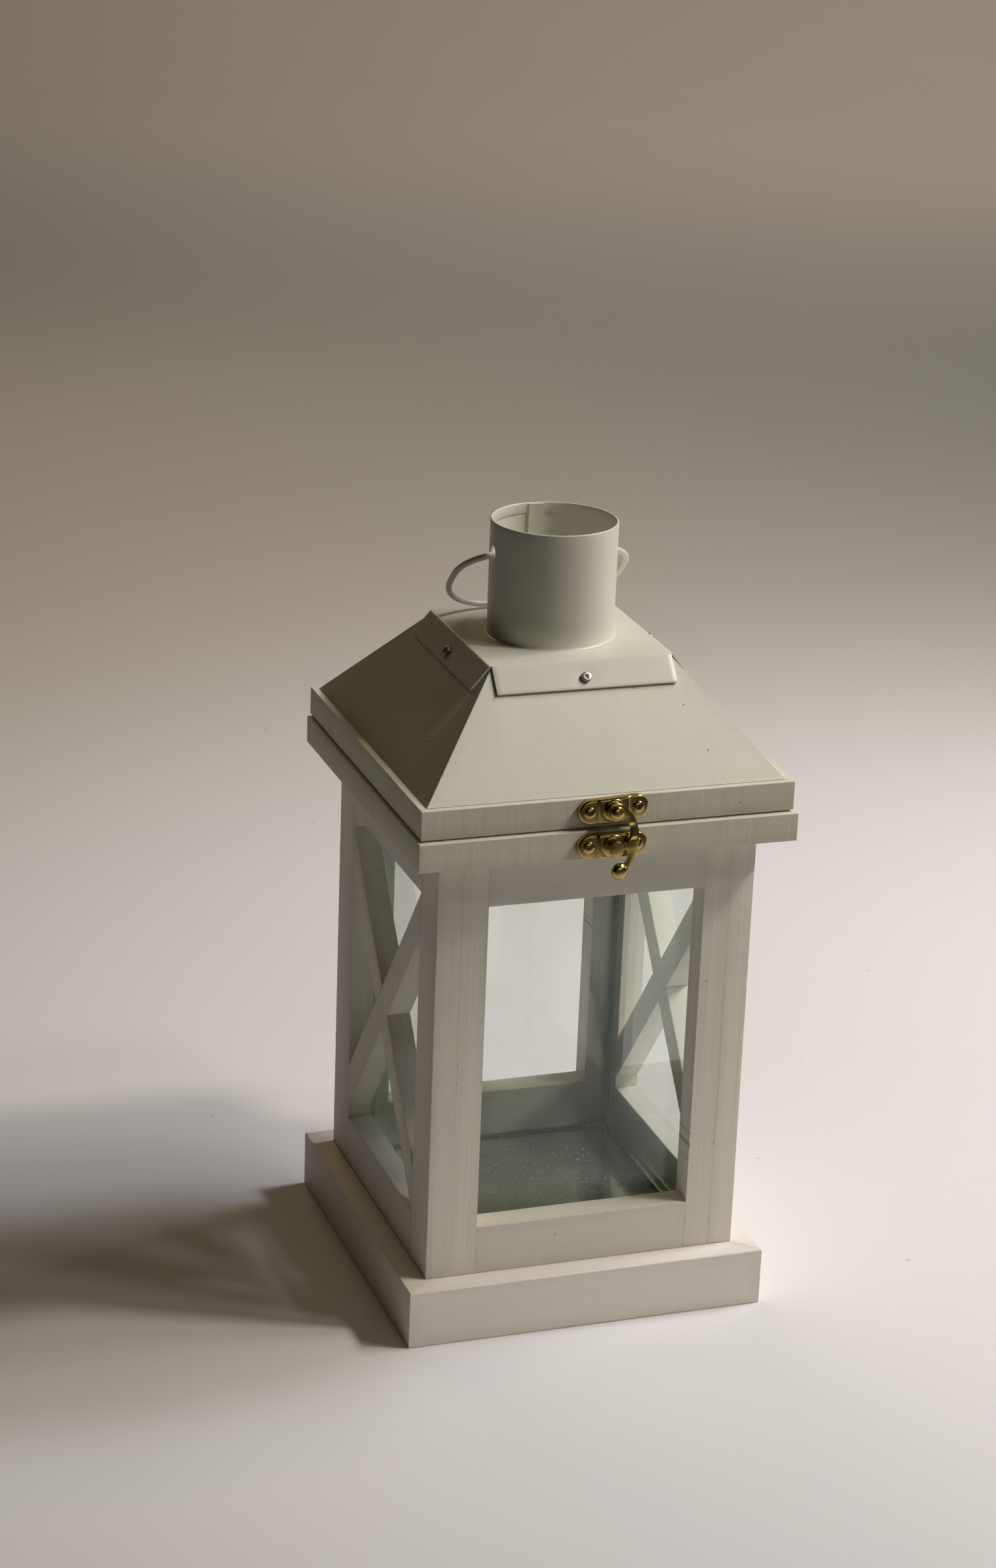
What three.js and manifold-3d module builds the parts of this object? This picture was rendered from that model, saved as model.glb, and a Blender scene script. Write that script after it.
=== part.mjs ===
// A small white lantern: a glazed wooden box on a mitred base, shut by a hinged hip roof that carries
// a sheet-metal cap, a chimney and a wire bail. Millimetres, +Z up, +Y to the back, and the origin is
// the middle of the base's underside.
import * as THREE from "three";
import { mergeVertices } from "three/addons/utils/BufferGeometryUtils.js";
import Module from "manifold-3d";

const wasm = await Module();
wasm.setup();

// Room between pieces that touch, and the small chamfer on worked wooden edges
const gap = 0.3;
const ease = 0.5;

// Base of four mitred mouldings round a recessed board
const baseHalfX = 75;
const baseHalfY = 76;
const baseHeight = 24;
const baseBarWidth = 19;
const boardTop = 22;
const boardThickness = 9;

// Walls: side frames run the full depth, front and back frames stand between them
const bodyHalf = 65.5;
const openingHalf = 44.8;
const openingBottom = 44.5;
const openingTop = 181.5;
const wallBottom = baseHeight + gap;
const wallTop = 202.3;
const sideThickness = 10;
const frontThickness = 11.2;

// X braces: a through brace and two halves, each drawn by its height along a stile
const braceStileHeight = 19.3;
const throughBraceLift = 5.2;
const halfBraceDrop = 5.9;

// Glass and the reflecting floor plate
const glassThickness = 2;
const glassTop = 200.5;
const plateThickness = 1;
const plateGroove = 0.6;

// Collar round the top of the walls
const collarHalf = 77.25;
const collarBottom = wallTop + gap;
const collarTop = 214;
const collarWidth = 22;

// Lid frame, set so that its back is flush with the collar's
const lidHalf = 76;
const lidShift = collarHalf - lidHalf;
const lidBottom = 214.7;
const lidTop = 226.4;

// Roof panels and the sheet-metal cap over their tops
const roofFootHalf = 73;
const panelThickness = 7;
const capHalf = 37.8;
const capTop = 269.1;
const sheet = 0.8;
const flapLength = 12;
const flapHalfWidth = 37;
const flapRoom = 0.5;
const capScrewDrop = 7.4;
const capScrewHead = 2.45;
const capScrewShank = 1.1;
const capScrewLength = 5.5;
const capScrewRise = 1.5;
const cornerInset = 0.3;

// Chimney: one sheet rolled up, lapped and hemmed at the rim
const chimneyRadius = 25.2;
const chimneyTop = 315.3;
const hemHeight = 4;
const chimneySegments = 64;
const lapAngle = THREE.MathUtils.degToRad(15);
const lapMiddle = THREE.MathUtils.degToRad(88.5);
const flangeReach = 2.2;
const holeRadius = 2.75;
const holeHeight = 303;

// Bail of round wire, folded back at rest with its crown on the cap
const wireRadius = 1.25;
const bailAxisZ = 302.1;
const bailHalf = 36;
const bailReach = 47;
const bailShift = -0.7;
const shoulderRadius = 13;
const crownRadius = 21;
const endLeg = 4.5;

// Swing-hook latch. Its depths are counted outwards from the plane that its plates stand on.
const pivotX = 0.3;
const pivotZ = 221.9;
const pivotPlateTilt = THREE.MathUtils.degToRad(3);
const keeperX = -0.5;
const keeperZ = 208.3;
const plateHalfLength = 14.2;
const plateRadius = 4.95;
const plateDepth = 2.4;
const plateRound = 0.8;
const saddleHalf = 6;
const saddleFoot = 6.9;
const saddleTop = 3;
const bossFoot = 4.6;
const bossTip = 3.9;
const bossTop = 3.4;
const plateScrewSpacing = 9.8;
const plateScrewHead = 2.4;
const plateScrewRise = 0.9;
const rivetShank = 1.2;
const rivetHead = 2.8;
const rivetRise = 1.5;
const neckRadius = 1.2;
const studRadius = 3.45;
const studHalfWidth = 2.6;
const studRise = 1;

// The hook, drawn from the middle of its eye. It leans out past the collar between two drops, and
// ends in a thick finger pad.
const hookThickness = 1.8;
const hookEdge = 0.35;
const leanStart = 3.8;
const leanEnd = 11;
const eyeRadius = 3.6;
const hookHole = 1.5;
const padX = 1.5;
const padDrop = 23.4;
const padRadius = 3.4;
const padThickness = 2.8;
const padEdge = 0.5;
const hookOuterEdge = [
  [0.8, 3.5], [2.6, 2.8], [4.8, 0.8], [6.8, -1.5], [8.3, -4.7], [8.9, -8.1], [8.7, -10.8], [8.3, -13.2],
  [7.5, -16.2], [6.6, -18.8], [5.5, -20.9], [4.4, -22.8],
];
const hookPadNeck = [[1.2, -21.6], [3, -21], [4.2, -20.1], [4.8, -18.6], [4.8, -17], [4.3, -15.2], [3.4, -14.3]];
const hookCatch = [[1.9, -14.4], [1.9, -15.9], [1.3, -16.4], [-1.1, -16.3], [-1.3, -15.2], [0.7, -15.2]];
const hookBow = [[0.8, -13.1], [2.8, -12.7], [4.3, -11.8], [5.9, -10.1], [6.7, -7.9], [6.4, -5.7], [5.4, -3.6]];
const hookThroat = [[4.1, -2.1], [2.9, -2.1]];

// Butt hinges
const hingeX = 44;
const hingeWidth = 24;
const leafHeight = 9.4;
const leafSheet = 0.8;
const knuckleRadius = 1.7;
const knuckleBore = 0.95;
const pinRadius = 0.65;
const middleKnuckle = 8;
const pinHeadRadius = 1.1;
const pinHeadRise = 0.7;
const hingeScrewX = 7.5;
const hingeScrewHead = 1.7;
const hingeScrewRise = 0.5;
const hingeAxisY = collarHalf + gap + knuckleRadius;
const hingeAxisZ = (collarTop + lidBottom) / 2;

const whiteWood = new THREE.MeshStandardMaterial({ color: 0xe6e2d6, roughness: 0.55, metalness: 0 });
const whiteMetal = new THREE.MeshStandardMaterial({ color: 0xebe8dd, roughness: 0.4, metalness: 0 });
const bareBoard = new THREE.MeshStandardMaterial({ color: 0x8b6d4c, roughness: 0.8, metalness: 0 });
const glass = new THREE.MeshStandardMaterial({
  color: 0xcfe0d6,
  roughness: 0.05,
  metalness: 0,
  transparent: true,
  opacity: 0.3,
});
const mirror = new THREE.MeshStandardMaterial({ color: 0x9aa39a, roughness: 0.15, metalness: 1 });
const brass = new THREE.MeshStandardMaterial({ color: 0xc2a04a, roughness: 0.25, metalness: 1 });
const steel = new THREE.MeshStandardMaterial({ color: 0x8f8d86, roughness: 0.35, metalness: 1 });

const lantern = new THREE.Group();

function addPiece(name, geometry, material, parent) {
  const mesh = new THREE.Mesh(geometry, material);
  mesh.name = name;
  parent.add(mesh);
  return mesh;
}

// Booleans on closed geometry

function solidOf(geometry) {
  const bare = geometry.clone();
  bare.deleteAttribute("normal");
  bare.deleteAttribute("uv");
  const merged = mergeVertices(bare, 1e-4);
  return new wasm.Manifold(
    new wasm.Mesh({
      numProp: 3,
      vertProperties: new Float32Array(merged.attributes.position.array),
      triVerts: new Uint32Array(merged.index.array),
    }),
  );
}

function geometryOf(solid) {
  const mesh = solid.getMesh();
  const indexed = new THREE.BufferGeometry();
  indexed.setAttribute("position", new THREE.BufferAttribute(mesh.vertProperties, 3));
  indexed.setIndex(new THREE.BufferAttribute(mesh.triVerts, 1));
  const flat = indexed.toNonIndexed();
  flat.computeVertexNormals();
  return flat;
}

const joinAll = (first, ...rest) =>
  geometryOf(rest.reduce((sum, next) => sum.add(solidOf(next)), solidOf(first)));

const cutAll = (first, ...tools) =>
  geometryOf(tools.reduce((left, tool) => left.subtract(solidOf(tool)), solidOf(first)));

// Shapes that the wooden pieces share

const outline = (points) => new THREE.Shape(points.map(([x, y]) => new THREE.Vector2(x, y)));

const rectangle = (x0, x1, y0, y1) => outline([[x0, y0], [x1, y0], [x1, y1], [x0, y1]]);

// A flat board cut to an outline, its faces at z = 0 and z = thickness, with its face edges eased
function easedBoard(shape, thickness, edge = ease) {
  const board = new THREE.ExtrudeGeometry(shape, {
    depth: thickness - 2 * edge,
    bevelThickness: edge,
    bevelSize: edge,
    bevelOffset: -edge,
    bevelSegments: 1,
    curveSegments: 8,
  });
  return board.translate(0, 0, edge);
}

// A bar of a mitred ring. Its section is drawn as (inset from the ring's outside, height), and each
// end is cut where the inset meets the neighbour's.
function mitredBar(section, halfRun, halfOut) {
  const bar = new THREE.ExtrudeGeometry(section, { depth: 1, bevelEnabled: false, curveSegments: 4 });
  const places = bar.attributes.position;
  for (let i = 0; i < places.count; i++) {
    const inset = places.getX(i);
    const height = places.getY(i);
    const end = places.getZ(i) > 0.5 ? 1 : -1;
    places.setXYZ(i, end * (halfRun - inset - gap / 2), inset - halfOut, height);
  }
  bar.computeVertexNormals();
  return bar;
}

const sideNames = ["front", "right", "back", "left"];

// Four mitred bars round a rectangle of half sizes halfX and halfY. A bar is drawn as the front one.
function mitredRing(prefix, section, halfX, halfY, parent, worked = (bar) => bar) {
  sideNames.forEach((side, quarter) => {
    const [run, out] = quarter % 2 ? [halfY, halfX] : [halfX, halfY];
    const bar = addPiece(prefix + "_" + side, worked(mitredBar(section, run, out)), whiteWood, parent);
    bar.rotation.z = (quarter * Math.PI) / 2;
  });
}

// A bar's section with its outer edges rounded and its inner edges chamfered
function barSection(width, bottom, top, round) {
  const shape = new THREE.Shape();
  shape.moveTo(round, bottom);
  shape.lineTo(width - ease, bottom);
  shape.lineTo(width, bottom + ease);
  shape.lineTo(width, top - ease);
  shape.lineTo(width - ease, top);
  shape.lineTo(round, top);
  shape.absarc(round, top - round, round, Math.PI / 2, Math.PI, false);
  shape.absarc(round, bottom + round, round, Math.PI, 1.5 * Math.PI, false);
  return shape;
}

// A turned piece, its profile given as (radius, distance along +z)
const turnedOut = (points, segments = 20) =>
  new THREE.LatheGeometry(points.map(([r, h]) => new THREE.Vector2(r, h)), segments).rotateX(Math.PI / 2);

// Base

function makeBase() {
  mitredRing("base", barSection(baseBarWidth, 0, baseHeight, 1), baseHalfX, baseHalfY, lantern);
  const boardX = baseHalfX - baseBarWidth - gap;
  const boardY = baseHalfY - baseBarWidth - gap;
  const board = easedBoard(rectangle(-boardX, boardX, -boardY, boardY), boardThickness);
  addPiece("bottom_board", board, bareBoard, lantern).position.z = boardTop - boardThickness;

  const inset = 2 * gap + glassThickness + plateGroove;
  const plateX = bodyHalf - sideThickness - inset;
  const plateY = bodyHalf - frontThickness - inset;
  const plate = easedBoard(rectangle(-plateX, plateX, -plateY, plateY), plateThickness, 0.2);
  addPiece("floor_plate", plate, mirror, lantern).position.z = boardTop + gap;
}

// Walls. Inside a wall's group x runs along the wall, y is up and z points outwards.

function wallGroup(quarter) {
  const turned = new THREE.Group();
  turned.rotation.z = (quarter * Math.PI) / 2;
  const upright = new THREE.Group();
  upright.rotation.x = Math.PI / 2;
  turned.add(upright);
  lantern.add(turned);
  return upright;
}

// Two stiles and two rails round the opening. nameAt gives the names of the stiles at x < 0 and x > 0.
function makeFrame(side, quarter, halfWidth, thickness, stileNames) {
  const wall = wallGroup(quarter);
  const inner = bodyHalf - thickness;
  const place = (name, shape) => {
    addPiece(side + "_" + name, easedBoard(shape, thickness), whiteWood, wall).position.z = inner;
  };
  place(stileNames[0], rectangle(-halfWidth, -openingHalf, wallBottom, wallTop));
  place(stileNames[1], rectangle(openingHalf, halfWidth, wallBottom, wallTop));
  const railHalf = openingHalf - gap;
  place("rail_bottom", rectangle(-railHalf, railHalf, wallBottom, openingBottom));
  place("rail_top", rectangle(-railHalf, railHalf, openingTop, wallTop));
  return place;
}

// Heights of a brace's middle at the front and back stiles, and its height at a place between them
const braceEnd = openingHalf - gap;
const highEnd = openingTop - gap - braceStileHeight / 2;
const lowEnd = openingBottom + gap + braceStileHeight / 2;
const throughLine = { front: highEnd, back: lowEnd + throughBraceLift };
const halfLine = { front: lowEnd, back: highEnd - halfBraceDrop };

const slopeOf = (line) => (line.back - line.front) / (2 * braceEnd);
const heightAt = (line, run) => line.front + slopeOf(line) * (run + braceEnd);

// Where an edge of the half braces meets an edge of the through brace, offsets measured upwards
function meeting(halfOffset, throughOffset) {
  const middle = (halfLine.front + halfLine.back - throughLine.front - throughLine.back) / 2;
  const run = (throughOffset - halfOffset - middle) / (slopeOf(halfLine) - slopeOf(throughLine));
  return [run, heightAt(halfLine, run) + halfOffset];
}

// The braces of a side wall. frontSign is -1 where the wall's x runs to the back and 1 where to the front.
function makeBraces(place, frontSign) {
  const edge = braceStileHeight / 2;
  const seam = edge + gap / Math.cos(Math.atan(slopeOf(throughLine)));
  const turnedTo = (points) => outline(points.map(([run, height]) => [-frontSign * run, height]));
  const at = (line, run, offset) => [run, heightAt(line, run) + offset];
  place(
    "brace_through",
    turnedTo([
      at(throughLine, -braceEnd, -edge),
      at(throughLine, braceEnd, -edge),
      at(throughLine, braceEnd, edge),
      at(throughLine, -braceEnd, edge),
    ]),
  );
  place(
    "brace_lower",
    turnedTo([
      at(halfLine, -braceEnd, -edge),
      meeting(-edge, -seam),
      meeting(edge, -seam),
      at(halfLine, -braceEnd, edge),
    ]),
  );
  place(
    "brace_upper",
    turnedTo([
      meeting(-edge, seam),
      at(halfLine, braceEnd, -edge),
      at(halfLine, braceEnd, edge),
      meeting(edge, seam),
    ]),
  );
}

function makeWalls() {
  const innerHalf = bodyHalf - sideThickness - gap;
  makeFrame("front", 0, innerHalf, frontThickness, ["stile_left", "stile_right"]);
  makeFrame("back", 2, innerHalf, frontThickness, ["stile_right", "stile_left"]);
  const right = makeFrame("right", 1, bodyHalf, sideThickness, ["stile_front", "stile_back"]);
  const left = makeFrame("left", 3, bodyHalf, sideThickness, ["stile_back", "stile_front"]);
  makeBraces(right, -1);
  makeBraces(left, 1);
}

// Panes stand on the bottom board against the inside of the frames
function makeGlass() {
  const frontOut = bodyHalf - frontThickness - gap;
  const sideOut = bodyHalf - sideThickness - gap;
  const sideHalf = frontOut - glassThickness - gap;
  sideNames.forEach((side, quarter) => {
    const [half, out] = quarter % 2 ? [sideHalf, sideOut] : [sideOut, frontOut];
    const pane = easedBoard(rectangle(-half, half, boardTop + gap, glassTop), glassThickness, 0.2);
    addPiece("glass_" + side, pane, glass, wallGroup(quarter)).position.z = out - glassThickness;
  });
}

function makeCollar() {
  const section = barSection(collarWidth, collarBottom, collarTop, 0.6);
  mitredRing("collar", section, collarHalf, collarHalf, lantern);
}

// Lid: everything that the back hinges carry

const lid = new THREE.Group();
lid.position.y = lidShift;
lantern.add(lid);

// Pitch at which flaps from the cap's edges lie parallel to panels from the roof's foot
const standOff = sheet + flapRoom;
const roofFootZ = lidTop + gap;
const capRise = capTop - roofFootZ;
const capRun = roofFootHalf - capHalf;
const roofPitch = Math.acos(standOff / Math.hypot(capRise, capRun)) - Math.atan2(capRun, capRise);

function makeLidWood() {
  mitredRing("lid_frame", barSection(collarWidth, lidBottom, lidTop, 0.8), lidHalf, lidHalf, lid);
  const woodTop = capTop - sheet - gap;
  const topInset = (woodTop - roofFootZ) / Math.tan(roofPitch);
  const wallInset = panelThickness / Math.sin(roofPitch);
  const section = outline([
    [0, roofFootZ],
    [wallInset, roofFootZ],
    [topInset + wallInset, woodTop],
    [topInset, woodTop],
  ]);
  const pilot = screwDrill(capScrewShank + gap, capScrewLength + gap);
  mitredRing("roof_panel", section, roofFootHalf, roofFootHalf, lid, (panel) => cutAll(panel, pilot));
}

// A cap screw's place: its axis square to the front flap, z outwards, turned round to another side
function screwPlace(quarter) {
  const out = capHalf + capScrewDrop * Math.cos(roofPitch);
  const up = capTop - capScrewDrop * Math.sin(roofPitch);
  return new THREE.Matrix4()
    .makeRotationZ((quarter * Math.PI) / 2)
    .multiply(new THREE.Matrix4().makeTranslation(0, -out, up))
    .multiply(new THREE.Matrix4().makeRotationX(roofPitch));
}

function screwDrill(radius, depth, quarter = 0) {
  const drill = new THREE.CylinderGeometry(radius, radius, 2 * depth, 16).rotateX(Math.PI / 2);
  return drill.applyMatrix4(screwPlace(quarter));
}

// A strip of sheet across the top with a flap bent down at each end, as a section in (run, height)
function capStrip() {
  const bend = 1;
  const turn = Math.PI / 2 - roofPitch;
  const setback = (bend + sheet) * Math.tan(roofPitch / 2);
  const centre = capHalf - setback;
  const along = [Math.cos(roofPitch), -Math.sin(roofPitch)];
  const inwards = [-Math.sin(roofPitch), -Math.cos(roofPitch)];
  const tip = [capHalf + along[0] * flapLength, capTop + along[1] * flapLength];
  const shape = new THREE.Shape();
  shape.moveTo(-centre, capTop);
  shape.lineTo(centre, capTop);
  shape.absarc(centre, capTop - bend - sheet, bend + sheet, Math.PI / 2, turn, true);
  shape.lineTo(tip[0], tip[1]);
  shape.lineTo(tip[0] + inwards[0] * sheet, tip[1] + inwards[1] * sheet);
  shape.absarc(centre, capTop - bend - sheet, bend, turn, Math.PI / 2, false);
  shape.lineTo(-centre, capTop - sheet);
  shape.absarc(-centre, capTop - bend - sheet, bend, Math.PI / 2, Math.PI - turn, false);
  shape.lineTo(-tip[0] - inwards[0] * sheet, tip[1] + inwards[1] * sheet);
  shape.lineTo(-tip[0], tip[1]);
  shape.absarc(-centre, capTop - bend - sheet, bend + sheet, Math.PI - turn, Math.PI / 2, true);
  const strip = new THREE.ExtrudeGeometry(shape, {
    depth: 2 * flapHalfWidth,
    bevelEnabled: false,
    curveSegments: 4,
  });
  return strip.translate(0, 0, -flapHalfWidth).rotateX(Math.PI / 2);
}

// Two crossed strips with their flaps and a square plate that fills the corners between them, with a
// throat for the chimney and a hole in each flap for its screw
function makeCap() {
  const corner = capHalf - cornerInset;
  const top = new THREE.BoxGeometry(2 * corner, 2 * corner, sheet).translate(0, 0, capTop - sheet / 2);
  const throat = new THREE.CylinderGeometry(chimneyRadius + gap, chimneyRadius + gap, 10, chimneySegments);
  throat.rotateX(Math.PI / 2).translate(0, 0, capTop);
  const screwHoles = sideNames.map((side, quarter) => screwDrill(capScrewShank + gap, 3, quarter));
  const sheetMetal = joinAll(top, capStrip(), capStrip().rotateZ(Math.PI / 2));
  addPiece("cap_plate", cutAll(sheetMetal, throat, ...screwHoles), whiteMetal, lid);
}

// A pan head with a cross recess, its underside on z = 0 and its spigot sunk below
function panHead(radius, height, sink = 0.3) {
  const head = turnedOut([
    [0, -sink],
    [radius * 0.6, -sink],
    [radius * 0.6, 0],
    [radius, 0],
    [radius, height * 0.4],
    [radius * 0.8, height * 0.85],
    [0, height],
  ], 14);
  const slots = [0, 1].map((turn) =>
    new THREE.BoxGeometry(radius * 1.15, radius * 0.28, height)
      .rotateZ((turn * Math.PI) / 2)
      .translate(0, 0, height),
  );
  return cutAll(head, ...slots);
}

function makeCapScrews() {
  sideNames.forEach((side, quarter) => {
    const shank = turnedOut([
      [0, -capScrewLength],
      [capScrewShank, -capScrewLength + capScrewShank],
      [capScrewShank, gap],
      [0, gap],
    ]);
    const screw = joinAll(panHead(capScrewHead, capScrewRise), shank).translate(0, 0, gap);
    addPiece("cap_screw_" + side, screw.applyMatrix4(screwPlace(quarter)), steel, lid);
  });
}

// The tube turned with its hem folded inwards at the rim and its foot turned out under the cap, the
// lap's second layer down the inside of the wall, and the two holes for the bail
function makeChimney() {
  const foot = capTop - sheet - gap - sheet;
  const inside = chimneyRadius - sheet;
  const fold = sheet / 2;
  const shell = turnedOut(
    [
      [inside, foot],
      [chimneyRadius + flangeReach, foot],
      [chimneyRadius + flangeReach, foot + sheet],
      [chimneyRadius, foot + sheet],
      [chimneyRadius, chimneyTop - fold],
      [chimneyRadius - fold, chimneyTop],
      [inside - fold / 2, chimneyTop],
      [inside - fold, chimneyTop - fold],
      [inside - fold, chimneyTop - hemHeight],
      [inside, chimneyTop - hemHeight],
      [inside, foot],
    ],
    chimneySegments,
  );
  const lap = new THREE.Shape();
  lap.absarc(0, 0, inside + fold, lapMiddle - lapAngle / 2, lapMiddle + lapAngle / 2, false);
  lap.absarc(0, 0, inside - sheet, lapMiddle + lapAngle / 2, lapMiddle - lapAngle / 2, true);
  const lapDepth = chimneyTop - fold - foot;
  const layer = new THREE.ExtrudeGeometry(lap, { depth: lapDepth, bevelEnabled: false, curveSegments: 2 });
  layer.translate(0, 0, foot);
  const drill = new THREE.CylinderGeometry(holeRadius, holeRadius, 3 * chimneyRadius, 20)
    .rotateZ(Math.PI / 2)
    .translate(0, 0, holeHeight);
  addPiece("chimney_tube", cutAll(joinAll(shell, layer), drill), whiteMetal, lid);
}

// Bail: legs inside the tube, out through the holes, round shoulders, sides, and a flat crown
function makeBail() {
  const path = new THREE.CurvePath();
  const point = (x, s) => new THREE.Vector3(x, s, 0);
  const line = (a, b) => path.add(new THREE.LineCurve3(a, b));
  const arc = (x, s, radius, from, to) => {
    const steps = 8;
    const places = Array.from({ length: steps + 1 }, (unused, i) => {
      const angle = THREE.MathUtils.degToRad(from + ((to - from) * i) / steps);
      return point(x + radius * Math.cos(angle), s + radius * Math.sin(angle));
    });
    path.add(new THREE.CatmullRomCurve3(places));
  };
  const shoulder = bailHalf - shoulderRadius;
  const crown = bailHalf - crownRadius;
  const legBend = 2.5;
  line(point(-shoulder + legBend, -endLeg), point(-shoulder + legBend, -legBend));
  arc(-shoulder, -legBend, legBend, 0, 90);
  arc(-shoulder, shoulderRadius, shoulderRadius, 270, 180);
  line(point(-bailHalf, shoulderRadius), point(-bailHalf, bailReach - crownRadius));
  arc(-crown, bailReach - crownRadius, crownRadius, 180, 90);
  line(point(-crown, bailReach), point(crown, bailReach));
  arc(crown, bailReach - crownRadius, crownRadius, 90, 0);
  line(point(bailHalf, bailReach - crownRadius), point(bailHalf, shoulderRadius));
  arc(shoulder, shoulderRadius, shoulderRadius, 0, -90);
  arc(shoulder, -legBend, legBend, 90, 180);
  line(point(shoulder - legBend, -legBend), point(shoulder - legBend, -endLeg));
  const section = new THREE.Shape().absarc(0, 0, wireRadius, 0, 2 * Math.PI, false);
  const bail = new THREE.ExtrudeGeometry(section, {
    steps: 110,
    curveSegments: 4,
    extrudePath: path,
  });
  const restRise = bailAxisZ - (capTop + gap + wireRadius);
  const mesh = addPiece("bail_handle", bail, whiteMetal, lid);
  mesh.position.set(bailShift, 0, bailAxisZ);
  mesh.rotation.x = -Math.asin(restRise / bailReach);
}

// Latch. Its pieces are drawn with x to the right, y up and z out of the front, then set upright.

function facing(geometry, x, y, z) {
  return geometry.rotateX(Math.PI / 2).translate(x, y, z);
}

// A deep pressed plate with round ends: a saddle across its middle, a boss on the saddle and its two
// screws driven home
function latchPlate() {
  const shape = new THREE.Shape();
  const straight = plateHalfLength - plateRadius;
  shape.absarc(straight, 0, plateRadius, -Math.PI / 2, Math.PI / 2, false);
  shape.absarc(-straight, 0, plateRadius, Math.PI / 2, 1.5 * Math.PI, false);
  const past = 2 * plateHalfLength;
  const beside = [1, -1].map((side) => {
    const ends = [
      [saddleHalf, saddleTop],
      [saddleFoot, plateDepth],
      [saddleFoot, -1],
      [past, -1],
      [past, past],
      [saddleHalf, past],
    ].map(([x, z]) => [side * x, z]);
    const tool = new THREE.ExtrudeGeometry(outline(ends), { depth: past, bevelEnabled: false });
    return tool.translate(0, 0, -past / 2).rotateX(Math.PI / 2);
  });
  const tray = easedBoard(shape, plateDepth, plateRound);
  const saddle = cutAll(easedBoard(shape, saddleTop, plateRound), ...beside);
  const boss = turnedOut([
    [0, plateDepth / 2],
    [bossFoot, plateDepth / 2],
    [bossFoot, saddleTop],
    [bossTip, bossTop],
    [0, bossTop],
  ]);
  const heads = [-1, 1].map((side) =>
    panHead(plateScrewHead, plateScrewRise).translate(side * plateScrewSpacing, 0, plateDepth),
  );
  return [tray, saddle, boss, ...heads];
}

// The lid's front stands back from the collar's, and the hook makes up for it by its lean
const lidFront = lidShift - lidHalf;
const collarFront = -collarHalf;
const hookLean = lidFront - collarFront;
const hookNear = bossTop + gap;
const hookFar = hookNear + hookThickness;

function makePivotPlate() {
  const rivet = turnedOut([
    [0, bossTop - gap],
    [rivetShank, bossTop - gap],
    [rivetShank, hookFar + gap],
    [rivetHead, hookFar + gap],
    [rivetHead, hookFar + gap + rivetRise * 0.3],
    [rivetHead * 0.8, hookFar + gap + rivetRise * 0.75],
    [rivetHead * 0.4, hookFar + gap + rivetRise],
    [0, hookFar + gap + rivetRise],
  ]);
  const plate = joinAll(...latchPlate(), rivet).rotateZ(pivotPlateTilt);
  addPiece("latch_pivot_plate", facing(plate, pivotX, lidFront - gap, pivotZ), brass, lantern);
}

// The stud's head is a disc with both sides cut flat
function makeKeeperPlate() {
  const headNear = hookFar + gap;
  const edge = studRise * 0.3;
  const stud = turnedOut([
    [0, bossTop - gap],
    [neckRadius, bossTop - gap],
    [neckRadius, headNear],
    [studRadius - edge, headNear],
    [studRadius, headNear + edge],
    [studRadius, headNear + studRise - edge],
    [studRadius - edge, headNear + studRise],
    [0, headNear + studRise],
  ]);
  const room = 2 * studRadius;
  const sides = [-1, 1].map((side) =>
    new THREE.BoxGeometry(room, 2 * room, 2 * studRise).translate(
      side * (studHalfWidth + room / 2),
      0,
      headNear + studRise / 2,
    ),
  );
  const plate = joinAll(...latchPlate(), cutAll(stud, ...sides));
  addPiece("latch_keeper_plate", facing(plate, keeperX, collarFront - gap, keeperZ), brass, lantern);
}

// A smooth edge through the points given, in the number of steps given
function flowing(points, steps) {
  const curve = new THREE.SplineCurve(points.map(([x, y]) => new THREE.Vector2(x, y)));
  return curve.getSpacedPoints(steps);
}

// Down the outer edge, up the inner one with its catch beside and under the stud's neck, round the eye
function hookOutline() {
  const arm = new THREE.Shape();
  arm.setFromPoints([
    ...flowing(hookOuterEdge, 20),
    ...flowing(hookPadNeck, 9),
    ...hookCatch.map(([x, y]) => new THREE.Vector2(x, y)),
    ...flowing(hookBow, 10),
    ...hookThroat.map(([x, y]) => new THREE.Vector2(x, y)),
  ]);
  const [throatX, throatY] = hookThroat[hookThroat.length - 1];
  const [topX, topY] = hookOuterEdge[0];
  const from = Math.atan2(throatY, throatX) - 0.2;
  arm.absarc(0, 0, eyeRadius, from, Math.atan2(topY, topX) + 0.2, true);
  return arm;
}

function makeHook() {
  const arm = new THREE.ExtrudeGeometry(hookOutline(), {
    depth: hookThickness - 2 * hookEdge,
    bevelThickness: hookEdge,
    bevelSize: hookEdge,
    bevelOffset: -hookEdge,
    bevelSegments: 1,
    curveSegments: 18,
  }).translate(0, 0, hookEdge);
  const places = arm.attributes.position;
  for (let i = 0; i < places.count; i++) {
    const leant = THREE.MathUtils.clamp((-places.getY(i) - leanStart) / (leanEnd - leanStart), 0, 1);
    places.setZ(i, places.getZ(i) + hookLean * leant);
  }
  const pad = turnedOut([
    [0, 0],
    [padRadius - padEdge, 0],
    [padRadius, padEdge],
    [padRadius, padThickness - padEdge],
    [padRadius - padEdge, padThickness],
    [0, padThickness],
  ]).translate(padX, -padDrop, hookLean);
  const hole = turnedOut([[0, -1], [hookHole, -1], [hookHole, 9], [0, 9]]);
  const hook = cutAll(joinAll(arm, pad), hole);
  const placed = facing(hook.translate(0, 0, hookNear), pivotX, lidFront - gap, pivotZ);
  addPiece("latch_hook", placed, brass, lantern);
}

// Hinges. A leaf is drawn below the axis with its sheet on the wood, and the lid's leaf is turned over.

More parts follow.
